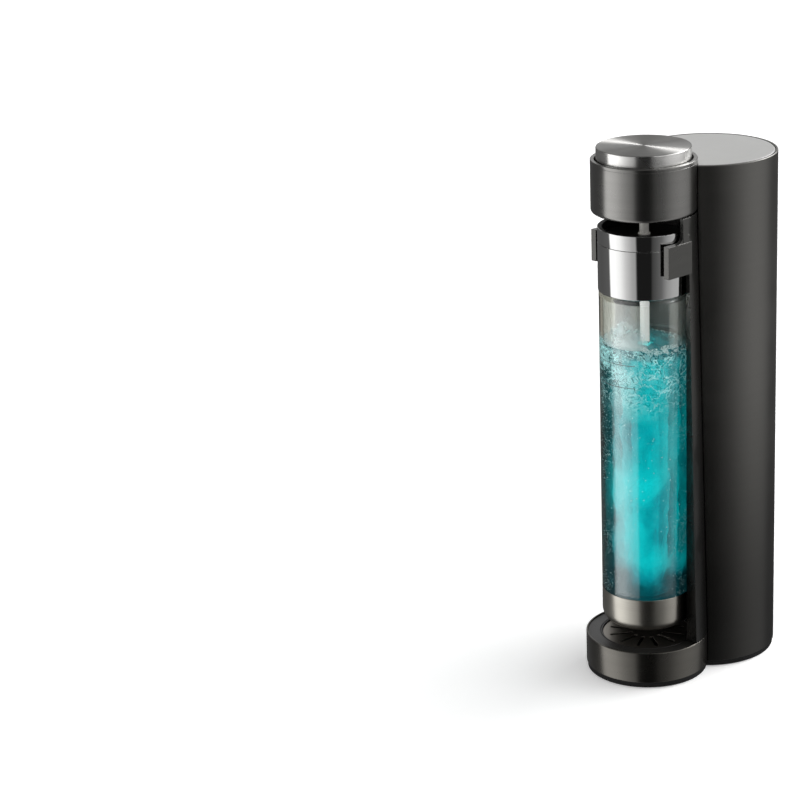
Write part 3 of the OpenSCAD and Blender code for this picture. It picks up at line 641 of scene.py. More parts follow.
@dataclass(frozen=True)
class Fizz(Finish):
    """Cloud of fine bubbles, bright where thick, deep teal where thin and pale at its top, with painted glow
    and shade.
    """

    floor: float
    level: float
    wall: float
    bright: Colour = (0.02, 0.76, 0.75)
    teal: Colour = (0.005, 0.41, 0.455)
    deep: Colour = (0.003, 0.12, 0.14)
    pale: Colour = (0.42, 0.66, 0.66)
    steps: tuple[float, float, float] = (0.15, 0.34, 0.5)
    # Emission strength of the cloud: painted glow.
    light: float = 0.8
    roughness: float = 0.6
    specular: float = 0.1
    relief: Point = (0.5, 0.002)
    stretch: tuple[float, float, float] = (1.0, 1.0, 0.55)
    scale: float = 45.0
    specks: float = 900.0
    speck_share: Point = (0.5, 1.0)
    patchy: Point = (0.4, 1.6)
    cover: Stops = ((0.25, 1.0), (0.42, 0.5), (0.6, 0.28), (0.8, 0.13), (0.95, 0.05))
    milk: Stops = ((0.0, 0.4), (0.22, 0.8), (0.3, 1.0), (0.36, 0.9), (0.41, 0.35), (0.5, 0.25), (0.7, 0.3))
    thin: Stops = ((0.0, 0.8), (0.14, 0.8), (0.22, 0.0), (0.82, 0.0), (0.92, 0.8))
    thin_from: Point = (0.58, 0.7)
    thin_above: Point = (26.0, 48.0)
    foot_span: Point = (54.0, 22.0)
    foot_dark: float = 0.46
    rim_span: Point = (0.8, 0.96)
    rim_painted_shade: float = 0.36
    top_span: Point = (-45.0, -6.0)
    cap_span: Point = (0.3, 0.7)
    cap_painted_shade: float = 0.9

    def wire(self, bench: Desk) -> None:
        """Wire the material.

        Args:
            bench: Bench of the material.
        """
        point = bench.node("SeparateXYZ", {0: bench.place()})
        height, depth = point.outputs["Z"], bench.less(point.outputs["Y"], BOTTLE_Y * MM)
        across = bench.node("CombineXYZ", {0: point.outputs["X"], 1: depth}).outputs[0]
        radius = bench.node("VectorMath", {0: across}, operation="LENGTH").outputs["Value"]
        outward = bench.spread(radius, (0.0, self.wall * MM), UNIT)
        turn = bench.turn()
        cloud = bench.clouds(bench.place(self.stretch), self.scale, 5.0, Distortion=0.7)
        specks = bench.group(bench.effects.grain, {"Scale": self.specks}).outputs["Tone"]
        milky = bench.times(
            bench.by_height(height, *(self.level + span for span in self.top_span)),
            bench.spread(specks, UNIT, self.speck_share),
        )
        milky = bench.times(milky, bench.grey_ramp(turn, self.milk))
        body = bench.mix(milky, self._body(bench, cloud, height, outward), self.pale)
        # Painted shade: faces that point up are darkened towards the deep colour.
        normal = bench.node("NewGeometry").outputs["True Normal"]
        upward = bench.node("SeparateXYZ", {0: normal}).outputs["Z"]
        body = bench.mix(bench.spread(upward, self.cap_span, (0.0, self.cap_painted_shade)), body, self.deep)
        bench.shade({
            "Base Color": body,
            "Emission Color": body,
            "Emission Strength": self.light,
            "Normal": bench.bump(*self.relief, cloud),
            "Alpha": self._cover(bench, cloud, height, outward, turn),
            "Roughness": self.roughness,
            "Specular IOR Level": self.specular,
        })

    def _body(self, bench: Bench, cloud: Socket, height: Socket, outward: Socket) -> Socket:
        """Colour the cloud by its thickness, darker towards its foot, with painted shade at its rim.

        Args:
            bench: Bench of the material.
            cloud: Cloudy noise.
            height: Height of the point.
            outward: Its distance from the axis as a share of the bottle's.

        Returns:
            The colour socket.
        """
        foot = bench.by_height(height, *(self.floor + span for span in self.foot_span), (0.0, self.foot_dark))
        # Painted shade at the rim, where the wall looks dark.
        rim = bench.spread(outward, self.rim_span, (0.0, self.rim_painted_shade), smooth=True)
        thick = bench.less(bench.less(cloud, foot), rim, clamp=True)
        return bench.ramp(thick, list(zip(self.steps, (self.deep, self.teal, self.bright))), "EASE")

    def _cover(self, bench: Bench, cloud: Socket, height: Socket, outward: Socket, turn: Socket) -> Socket:
        """Give how much the cloud hides: less towards the wall, and least of all at one side.

        Args:
            bench: Bench of the material.
            cloud: Cloudy noise.
            height: Height of the point.
            outward: Its distance from the axis as a share of the bottle's.
            turn: Its place round the axis.

        Returns:
            The number socket.
        """
        patchy = bench.spread(cloud, NOISE_RANGE, self.patchy)
        cover = bench.times(bench.grey_ramp(outward, self.cover), patchy)
        shell = bench.spread(outward, self.thin_from, UNIT, smooth=True)
        raised = bench.by_height(height, *(self.floor + span for span in self.thin_above))
        thinned = bench.times(shell, bench.times(raised, bench.grey_ramp(turn, self.thin)))
        return bench.math("MINIMUM", bench.times(cover, bench.less(1.0, thinned)), 1.0)


@dataclass(frozen=True)
class Curls(Finish):
    """Curling threads of froth near the surface of the water, with a faint painted glow."""

    level: float
    reach: float
    pale: Colour = (0.62, 0.93, 0.93)
    dark: Colour = (0.003, 0.06, 0.065)
    milk: Stops = ((0.0, 0.4), (0.22, 0.8), (0.3, 1.0), (0.36, 0.9), (0.41, 0.3), (0.5, 0.2), (0.7, 0.3))
    scales: Point = (110.0, 150.0)
    thread: Point = (0.03, 0.0)
    bend: float = 0.02
    bend_scale: float = 70.0
    patch_scale: float = 40.0
    haze_from: Point = (0.42, 0.7)
    haze: float = 0.55
    busy_from: Point = (0.35, 0.55)
    busy: Point = (0.2, 1.0)
    full: float = 12.0
    dark_share: float = 0.6
    # Emission strength of the threads: painted glow.
    glow: float = 0.25
    roughness: float = 0.4

    def wire(self, bench: Desk) -> None:
        """Wire the material.

        Args:
            bench: Bench of the material.
        """
        pale, dark = self._threads(bench)
        patch = bench.clouds(bench.place(), self.patch_scale, 3.0)
        near = bench.by_height(bench.height(), self.level - self.reach, self.level - self.full)
        side = bench.times(near, bench.grey_ramp(bench.turn(), self.milk))
        haze = bench.times(bench.spread(patch, self.haze_from, (0.0, self.haze)), side)
        busy = bench.times(near, bench.spread(patch, self.busy_from, self.busy))
        light = bench.times(pale, busy)
        shade = bench.times(bench.times(dark, busy), self.dark_share)
        cover = bench.math("MAXIMUM", bench.math("MAXIMUM", light, shade), haze)
        tone = bench.mix(bench.math("GREATER_THAN", shade, light), self.pale, self.dark)
        bench.shade({
            "Base Color": tone,
            "Emission Color": tone,
            "Emission Strength": self.glow,
            "Alpha": cover,
            "Roughness": self.roughness,
        })

    def _threads(self, bench: Bench) -> list[Socket]:
        """Draw curling threads at two scales.

        Args:
            bench: Bench of the material.

        Returns:
            The mask of each.
        """
        inputs = {"Vector": bench.place(), "Scale": self.bend_scale, "Detail": 2.0}
        drift = bench.node("TexNoise", inputs).outputs["Color"]
        bends = {0: drift, 1: (self.bend, self.bend, self.bend)}
        push = bench.node("VectorMath", bends, operation="MULTIPLY").outputs["Vector"]
        bent = bench.node("VectorMath", {0: bench.place(), 1: push}, operation="ADD").outputs["Vector"]
        threads = []
        for scale in self.scales:
            away = bench.math("ABSOLUTE", bench.less(bench.clouds(bent, scale, 3.0), 0.5))
            threads.append(bench.spread(away, self.thread, UNIT))
        return threads


@dataclass(frozen=True)
class Spray(Finish):
    """Thin film of spray that runs down the inside of the glass, with mist above the water, both thicker at
    chosen sides as painted reflection.
    """

    level: float
    colour: Colour = (0.78, 0.77, 0.7)
    mist: Colour = (0.82, 0.92, 0.91)
    painted_reflection_strips: Stops = (
        (0.0, 0.05), (0.1, 0.1), (0.19, 0.35), (0.215, 0.75), (0.28, 0.75), (0.3, 0.5), (0.34, 0.45),
        (0.385, 0.2), (0.395, 0.06), (0.465, 0.06), (0.485, 0.4), (0.52, 0.5), (0.57, 0.5), (0.61, 0.1),
        (1.0, 0.05),
    )
    drift: Stops = (
        (0.0, 0.05), (0.15, 0.1), (0.22, 0.35), (0.27, 0.8), (0.31, 1.0), (0.36, 0.75), (0.39, 0.15),
        (0.5, 0.05), (1.0, 0.05),
    )
    runs: tuple[float, float, float] = (150.0, 150.0, 7.0)
    run_share: Point = (0.4, 1.2)
    rise: Point = (4.0 * MM, 40.0 * MM)
    clouds: float = 60.0
    ragged: Point = (-0.4, 0.4)
    fade: Point = (1.0, 0.2)
    fog: Point = (0.12, 0.75)
    roughness: float = 0.35

    def wire(self, bench: Desk) -> None:
        """Wire the material.

        Args:
            bench: Bench of the material.
        """
        turn = bench.turn()
        # Painted reflection: mist and wet strips are thicker at chosen sides round the bottle.
        drift = bench.grey_ramp(turn, self.drift)
        marks = bench.group(bench.effects.handling, {"Scale": self.clouds}).outputs["Tone"]
        above = bench.less(bench.height(), self.level * MM)
        share = bench.math("DIVIDE", above, bench.spread(drift, UNIT, self.rise))
        ragged = bench.math("ADD", share, bench.spread(marks, UNIT, self.ragged))
        near = bench.spread(ragged, self.fade, UNIT, smooth=True)
        fog = bench.times(near, bench.spread(drift, UNIT, self.fog))
        runs = bench.clouds(bench.place(self.runs), 1.0, 3.0)
        wet_and_reflection = bench.times(bench.spread(runs, NOISE_RANGE, self.run_share), bench.grey_ramp(turn, self.painted_reflection_strips))
        # The film has two faces, so each lets through the square root of what the whole does.
        seen = bench.less(1.0, bench.math("MAXIMUM", fog, wet_and_reflection), clamp=True)
        bench.shade({
            "Base Color": bench.mix(near, self.colour, self.mist),
            "Alpha": bench.less(1.0, bench.math("SQRT", seen)),
            "Roughness": self.roughness,
        })


@dataclass(frozen=True)
class Speckled(Finish):
    """Finely speckled skin, such as foam or print."""

    colour: Colour
    dim: float
    scale: float
    roughness: float
    coat: float = 0.0
    glow: float = 0.0

    def wire(self, bench: Desk) -> None:
        """Wire the material.

        Args:
            bench: Bench of the material.
        """
        grain = bench.group(bench.effects.grain, {"Scale": self.scale}).outputs["Tone"]
        tone = bench.mix(grain, scaled(self.colour, self.dim), self.colour)
        bench.shade({"Base Color": tone, "Roughness": self.roughness, "Coat Weight": self.coat})
        if self.glow:
            bench.shade({"Emission Color": tone, "Emission Strength": self.glow})


class FinishRack:
    """All finishes, made once and handed out by slot or by name."""

    # Near-white edge colours, as on the lid and the spun knob, are a painted edge highlight.
    SLOTS: dict[Slot, Finish] = {
        Slot.GUNMETAL: Metal(
            "gunmetal", (0.19, 0.187, 0.18), 0.27, vary=0.03, lines=2600.0, line_share=0.05, bump=0.02,
            edge=(0.42, 0.41, 0.4), edge_wear_and_highlight_share=0.35, anisotropic=0.6,
        ),
        Slot.LID: Metal(
            "lid_silver", (0.46, 0.46, 0.45), 0.42, line_share=0.02, bump=0.01, axis_y=REAR_Y,
            edge=(0.98, 0.98, 0.97), edge_wear_and_highlight_share=0.8, metallic=0.06,
        ),
        Slot.SPUN: Metal(
            "spun_aluminium", (0.34, 0.337, 0.327), 0.42, vary=0.03, lines=4200.0, line_share=0.1,
            edge=(0.98, 0.98, 0.97), edge_wear_and_highlight_share=0.5, anisotropic=1.0,
        ),
        Slot.PLASTIC: Moulded("black_plastic", (0.014, 0.0135, 0.0125), 0.34),
        Slot.RUBBER: Moulded("rubber", (0.012, 0.012, 0.012), 0.7, scale=900.0, bump=0.3),
        Slot.STEEL: Metal("steel", (0.55, 0.55, 0.54), 0.3),
        Slot.GRILLE: Metal("grille_steel", (0.3, 0.28, 0.25), 0.38, line_share=0.1, edge=(0.6, 0.58, 0.52)),
        Slot.BRASS: Metal("brass", (0.75, 0.56, 0.26), 0.28, edge=(0.95, 0.8, 0.5)),
        Slot.GAS: Metal("gas_aluminium", (0.62, 0.63, 0.65), 0.38, axis_y=GAS_Y, anisotropic=0.3),
        Slot.CHROME: Metal("chrome", (0.46, 0.46, 0.455), 0.05, vary=0.015, line_share=0.01, bump=0.004),
        # The tube's glow is painted light.
        Slot.TUBE: Moulded("tube_grey", (0.82, 0.8, 0.73), 0.35, scale=2500.0, bump=0.05, glow=0.4),
        Slot.GLASS: ClearGlass("glass"),
        Slot.CUP: Metal(
            "cup_steel", (0.34, 0.325, 0.29), 0.3, vary=0.03, lines=1800.0, line_share=0.06, bump=0.02,
            anisotropic=0.6,
        ),
    }

    def __init__(self) -> None:
        """Build the groups and the slot materials."""
        self.effects = Effects()
        self._made = {slot: finish.build(self.effects) for slot, finish in self.SLOTS.items()}

    def like(self, slot: Slot, name: str, **changes: object) -> Material:
        """Build a variant of a slot's finish.

        Args:
            slot: The slot that it follows.
            name: Name of the variant.
            changes: Fields that differ.

        Returns:
            The material.
        """
        return replace(self.SLOTS[slot], name=name, **changes).build(self.effects)

    def matt(self, name: str, **changes: object) -> Material:
        """Build a dull variant of the black plastic."""
        return self.like(Slot.PLASTIC, name, **{"roughness": 0.5, "specular": 0.15, **changes})

    def of(self, slot: Slot) -> Material:
        """Give the material of a slot."""
        return self._made[slot]

    def make(self, finish: Finish) -> Material:
        """Build a finish that no slot holds."""
        return finish.build(self.effects)


def round_the_axis(reach: float, angle: float, height: float) -> Vector:
    """Give the point at a distance and an angle round the bottle axis, in millimetres."""
    return Vector((reach * math.cos(angle), BOTTLE_Y + reach * math.sin(angle), height))


def bridge(mesh: bmesh.types.BMesh, rings: Sequence[Ring]) -> None:
    """Join each ring of corners to the next one with faces.

    Args:
        mesh: Geometry that the rings belong to.
        rings: Rings in order. A ring of one corner makes a fan.
    """
    for low, high in zip(rings, rings[1:]):
        count = max(len(low), len(high))
        for k in range(count):
            after = (k + 1) % count
            quad = (low[k % len(low)], low[after % len(low)], high[after % len(high)], high[k % len(high)])
            corners = list(dict.fromkeys(quad))
            if len(corners) > 2:
                mesh.faces.new(corners)


def cap(mesh: bmesh.types.BMesh, rings: Sequence[Ring]) -> None:
    """Close both ends of a row of rings."""
    for ring in (rings[0], rings[-1]):
        mesh.faces.new(ring)


def in_scene(name: str, data: bpy.types.Mesh) -> Piece:
    """Put a mesh into the scene as an object.

    Args:
        name: Name of the object.
        data: Its mesh.

    Returns:
        The object.
    """
    made = bpy.data.objects.new(name, data)
    bpy.context.scene.collection.objects.link(made)
    return made


def as_piece(name: str, mesh: bmesh.types.BMesh, sharp: float = 40.0) -> Piece:
    """Turn a bmesh into a smooth-shaded object in the scene.

    Args:
        name: Name of the piece.
        mesh: Its geometry, which is freed.
        sharp: Angle in degrees above which an edge stays sharp.

    Returns:
        The object.
    """
    data = bpy.data.meshes.new(name)
    mesh.to_mesh(data)
    mesh.free()
    data.shade_smooth()
    data.set_sharp_from_angle(angle=math.radians(sharp))
    return in_scene(name, data)


@dataclass(frozen=True)
class Corner:
    """Corner of a half profile, with the radius that rounds it."""

    r: float
    z: float
    rounding: float = 0.0

    def at(self) -> Vector:
        """Give the corner as a vector."""
        return Vector((self.r, self.z))


class Turned:
    """Turned pieces, swept from a half profile about the bottle axis.

    A profile that starts on the axis also ends there, and any other one is a closed ring.
    """

    SEGMENTS = 160
    STEPS = 6
    LONGEST_CUT = 0.49
    ON_AXIS = 1e-4

    @staticmethod
    def closed(corners: Sequence[Corner]) -> bool:
        """Tell whether a profile is a closed ring."""
        return corners[0].r > 0

    @classmethod
    def path(cls, corners: Sequence[Corner]) -> list[Point]:
        """Round the corners of a half profile.

        Args:
            corners: The corners in order.

        Returns:
            Points of the rounded profile.
        """
        points: list[Point] = []
        count = len(corners)
        ends = () if cls.closed(corners) else (0, count - 1)
        for index, corner in enumerate(corners):
            at = corner.at()
            if corner.rounding <= 0 or index in ends:
                points.append((at.x, at.y))
                continue
            before = corners[index - 1].at() - at
            after = corners[(index + 1) % count].at() - at
            half = before.angle(after) / 2
            longest = (cls.LONGEST_CUT * side.length for side in (before, after))
            cut = min(corner.rounding / math.tan(half), *longest)
            radius = cut * math.tan(half)
            way = (before.normalized() + after.normalized()).normalized()
            centre = at + way * (radius / math.sin(half))
            start = at + before.normalized() * cut - centre
            end = at + after.normalized() * cut - centre
            first = math.atan2(start.y, start.x)
            sweep = (math.atan2(end.y, end.x) - first + math.pi) % FULL_TURN - math.pi
            for step in range(cls.STEPS + 1):
                angle = first + sweep * step / cls.STEPS
                points.append((centre.x + radius * math.cos(angle), centre.y + radius * math.sin(angle)))
        return points

    @classmethod
    def fine(cls, corners: Sequence[Corner], length: float) -> list[Corner]:
        """Divide a rounded profile into short steps.

        Args:
            corners: Corners of the profile.
            length: Longest step in millimetres.

        Returns:
            The finer profile.
        """
        points = cls.path(corners)
        made = [Corner(*points[0])]
        for before, after in zip(points, points[1:]):
            parts = max(1, math.ceil(math.dist(before, after) / length))
            for k in range(1, parts + 1):
                share = k / parts
                made.append(Corner(*(a + (b - a) * share for a, b in zip(before, after))))
        return made

    @classmethod
    def sweep(cls, name: str, corners: Sequence[Corner]) -> Piece:
        """Sweep a half profile into a piece.

        Args:
            name: Name of the piece.
            corners: Corners of the profile.

        Returns:
            The piece.
        """
        mesh = bmesh.new()
        rings: list[Ring] = []
        for r, z in cls.path(corners):
            turns = 1 if r < cls.ON_AXIS else cls.SEGMENTS
            ring = []
            for k in range(turns):
                angle = FULL_TURN * k / turns
                at = (r * math.cos(angle) * MM, (BOTTLE_Y + r * math.sin(angle)) * MM, z * MM)
                ring.append(mesh.verts.new(at))
            rings.append(ring)
        bridge(mesh, rings + rings[:1] if cls.closed(corners) else rings)
        bmesh.ops.recalc_face_normals(mesh, faces=mesh.faces)
        return as_piece(name, mesh)


@dataclass
class Assembly:
    """Common part of every sub-assembly."""

    rack: FinishRack

    def dress(self, slot: Slot, *nodes: str, finish: Material | None = None) -> None:
        """Give CAD nodes the finish of their slot.

        Args:
            slot: The slot.
            nodes: Names of the nodes.
            finish: Material to use in place of the slot's own.
        """
        for name in nodes:
            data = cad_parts[name].data
            data.materials.clear()
            data.materials.append(finish or self.rack.of(slot))
            LOG.info("dressed %s in %s", name, slot.value)

    def seat(
        self, piece: Piece, body: Body, slot: Slot, nodes: Sequence[str] = (), finish: Material | None = None
    ) -> Piece:
        """Finish a piece and let it ride on its body.

        Args:
            piece: The piece.
            body: Body that carries it.
            slot: Slot that its finish follows.
            nodes: CAD nodes that it stands for.
            finish: Material to use in place of the slot's own.

        Returns:
            The piece.
        """
        piece.data.materials.clear()
        piece.data.materials.append(finish or self.rack.of(slot))
        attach(piece, body.value)
        if nodes:
            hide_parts(*nodes)
        LOG.info("built %s on %s", piece.name, body.value)
        return piece


@dataclass
class PressKnob(Assembly):
    """Spun press knob with its stem, spring and guide."""

    radius: float = 37.25
    top: float = 440.0
    thickness: float = 4.0
    wall: float = 2.0
    foot: float = 420.0
    side_slope: float = 0.5
    stroke: float = 5.0
    wire: float = 1.4
    turns: int = 5
    turn_steps: int = 40
    wire_sides: int = 12
    dead_ends: float = 0.06
    clearance: float = 0.05

    def build(self) -> None:
        """Make knob and spring, and dress the mechanism."""
        self._knob()
        self._spring()
        self.dress(Slot.STEEL, "knob_stem", "press_lever", "lever_pin", "valve_pin")
        self.dress(Slot.BRASS, "stem_bush")
        self.dress(Slot.PLASTIC, "guide_plate")

    def _knob(self) -> None:
        """Spin the knob, with its side in a brighter copy of the finish as painted light."""
        inner, under = self.radius - self.wall, self.top - self.thickness
        corners = [
            Corner(0, self.top),
            Corner(self.radius, self.top, 0.9),
            Corner(self.radius, self.foot, 0.5),
            Corner(inner, self.foot, 0.3),
            Corner(inner, under, 0.8),
            Corner(0, under),
        ]
        knob = self.seat(Turned.sweep("spun_knob", corners), Body.KNOB, Slot.SPUN, ["knob_cap"])
        # Painted light: the side takes a brighter, glossier copy of the spun finish than the top.
        bright = {"colour": (0.6, 0.595, 0.58), "roughness": 0.27, "anisotropic": 0.8}
        knob.data.materials.append(self.rack.like(Slot.SPUN, "spun_side_painted_light", **bright))
        for face in knob.data.polygons:
            face.material_index = int(abs(face.normal.z) < self.side_slope)

    def _spring(self) -> None:
        """Wind the coil spring to fit the box of its CAD node, with a mesh of its own."""
        low, high = (Vector(corner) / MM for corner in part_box("knob_spring"))
        reach, wire = (high.x - low.x - self.wire) / 2, self.wire / 2
        whole = high.z - low.z
        height = whole - self.wire - self.clearance
        steps = self.turn_steps * self.turns
        around = [FULL_TURN * side / self.wire_sides for side in range(self.wire_sides)]
        mesh = bmesh.new()
        rings = []
        for k in range(steps + 1):
            share, angle = k / steps, FULL_TURN * self.turns * k / steps
            rise = share - self.dead_ends * math.sin(FULL_TURN * share)
            out = Vector((math.cos(angle), math.sin(angle), 0.0))
            centre = out * reach + Vector((0.0, BOTTLE_Y, low.z + wire + height * rise))
            skin = [centre + wire * (out * math.cos(a) + Vector((0.0, 0.0, math.sin(a)))) for a in around]
            rings.append([mesh.verts.new(spot * MM) for spot in skin])
        bridge(mesh, rings)
        cap(mesh, rings)
        bmesh.ops.recalc_face_normals(mesh, faces=mesh.faces)
        spring = self.seat(as_piece("coil_spring", mesh), Body.MACHINE, Slot.STEEL, ["knob_spring"])
        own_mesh(spring)


@dataclass
class Head(Assembly):
    """Head shell with its rim ring."""

    radius: float = 41.75
    rim_inner: float = 38.45
    shell_inner: float = 39.6
    top: float = 430.5
    rim_foot: float = 427.5
    skirt_foot: float = 422.5

    def build(self) -> None:
        """Make the rim and dress the shell."""
        corners = [
            Corner(self.rim_inner, self.skirt_foot),
            Corner(self.shell_inner, self.skirt_foot),
            Corner(self.shell_inner, self.rim_foot),
            Corner(self.radius, self.rim_foot, 0.15),
            Corner(self.radius, self.top, 0.7),
            Corner(self.rim_inner, self.top, 0.8),
        ]
        self.seat(Turned.sweep("head_rim_ring", corners), Body.MACHINE, Slot.GUNMETAL, ["head_rim"])
        self.dress(Slot.GUNMETAL, "head_shell")
        self.dress(Slot.STEEL, "head_screws")
        self.dress(Slot.RUBBER, "outlet_seal")
        self.dress(Slot.BRASS, "outlet_fitting")


@dataclass
class Spine(Assembly):
    """Cheeks with the fork arms, the dark panel between them and the chassis."""

    def build(self) -> None:
        """Dress the spine."""
        # The cheeks take a darker copy of the gunmetal, with painted shade that deepens towards the floor.
        dark = {"colour": (0.085, 0.084, 0.08), "anisotropic": 0.0, "least": 0.3}
        floor_shaded_gunmetal = self.rack.like(Slot.GUNMETAL, "cheek_gunmetal", **dark)
        self.dress(Slot.GUNMETAL, "cheek_left", "cheek_right", finish=floor_shaded_gunmetal)
        self.dress(Slot.PLASTIC, "spine_panel", finish=self.rack.matt("panel_black"))
        self.dress(Slot.STEEL, "chassis", "panel_screws")


@dataclass
class Base(Assembly):
    """Round base with its deck, black bottom cover and feet."""

    radius: float = 50.0
    wall: float = 2.5
    lip_width: float = 1.4
    rim_top: float = 31.5
    deck_under: float = 28.0
    foot: float = 5.5

    def build(self) -> None:
        """Make the shell and dress the rest."""
        inner, lip = self.radius - self.wall, self.radius - self.lip_width
        corners = [
            Corner(inner, self.foot),
            Corner(self.radius, self.foot, 0.4),
            Corner(self.radius, self.rim_top, 0.9),
            Corner(lip, self.rim_top, 0.25),
            Corner(lip, self.deck_under),
            Corner(inner, self.deck_under),
        ]
        dark = {"colour": (0.105, 0.1, 0.09), "edge": (0.5, 0.48, 0.45)}
        darker = self.rack.like(Slot.GUNMETAL, "base_gunmetal", **dark)
        self.seat(Turned.sweep("base_ring", corners), Body.MACHINE, Slot.GUNMETAL, ["base_shell"], darker)
        matt = self.rack.matt("foot_black", colour=(0.006, 0.006, 0.006), roughness=0.6, specular=0.08)
        self.dress(Slot.PLASTIC, "base_deck", "cylinder_seat")
        self.dress(Slot.PLASTIC, "bottom_cover", finish=matt)
        self.dress(Slot.RUBBER, "rubber_feet")
        self.dress(Slot.STEEL, "cover_screws")


@dataclass
class DripTray(Assembly):
    """Lift-out drip tray with its slotted grille."""

    radius: float = 38.0
    wall: float = 1.6
    foot: float = 17.5
    rim: float = 30.5
    ledge_top: float = 28.0
    ledge_under: float = 25.0
    ledge_width: float = 2.0

    def build(self) -> None:
        """Make the tray and dress the grille."""
        inner = self.radius - self.wall
        ledge = inner - self.ledge_width
        corners = [
            Corner(0, self.foot),
            Corner(self.radius, self.foot, 1.0),
            Corner(self.radius, self.rim, 0.5),
            Corner(inner, self.rim, 0.5),
            Corner(inner, self.ledge_top, 0.2),
            Corner(ledge, self.ledge_top, 0.3),
            Corner(ledge, self.ledge_under, 0.3),
            Corner(inner, self.ledge_under, 0.3),
            Corner(inner, self.foot + self.wall, 1.5),
            Corner(0, self.foot + self.wall),
        ]
        self.seat(Turned.sweep("drip_bowl", corners), Body.TRAY, Slot.PLASTIC, ["drip_tray"])
        self.dress(Slot.GRILLE, "drip_grille")


@dataclass
class RearCover(Assembly):
    """Lift-off rear cover with its pale lid."""

    def build(self) -> None:
        """Dress the cover and its lid."""
        # The cover's gunmetal has painted shade that deepens towards the floor.
        floor_shaded_gunmetal = self.rack.like(
            Slot.GUNMETAL, "cover_gunmetal", colour=(0.135, 0.132, 0.125), axis_y=REAR_Y, roughness=0.38,
            anisotropic=0.0, line_share=0.02, least=0.34,
        )
        self.dress(Slot.GUNMETAL, "rear_cover", finish=floor_shaded_gunmetal)
        self.dress(Slot.LID, "rear_lid")


@dataclass
class GasSupply(Assembly):
    """Gas cylinder, valves and hose inside the rear cover."""

    def build(self) -> None:
        """Dress the gas supply."""
        self.dress(Slot.GAS, "gas_cylinder")
        self.dress(Slot.BRASS, "cylinder_valve", "valve_body", "relief_valve")
        self.dress(Slot.STEEL, "valve_nut")
        self.dress(Slot.RUBBER, "gas_hose")


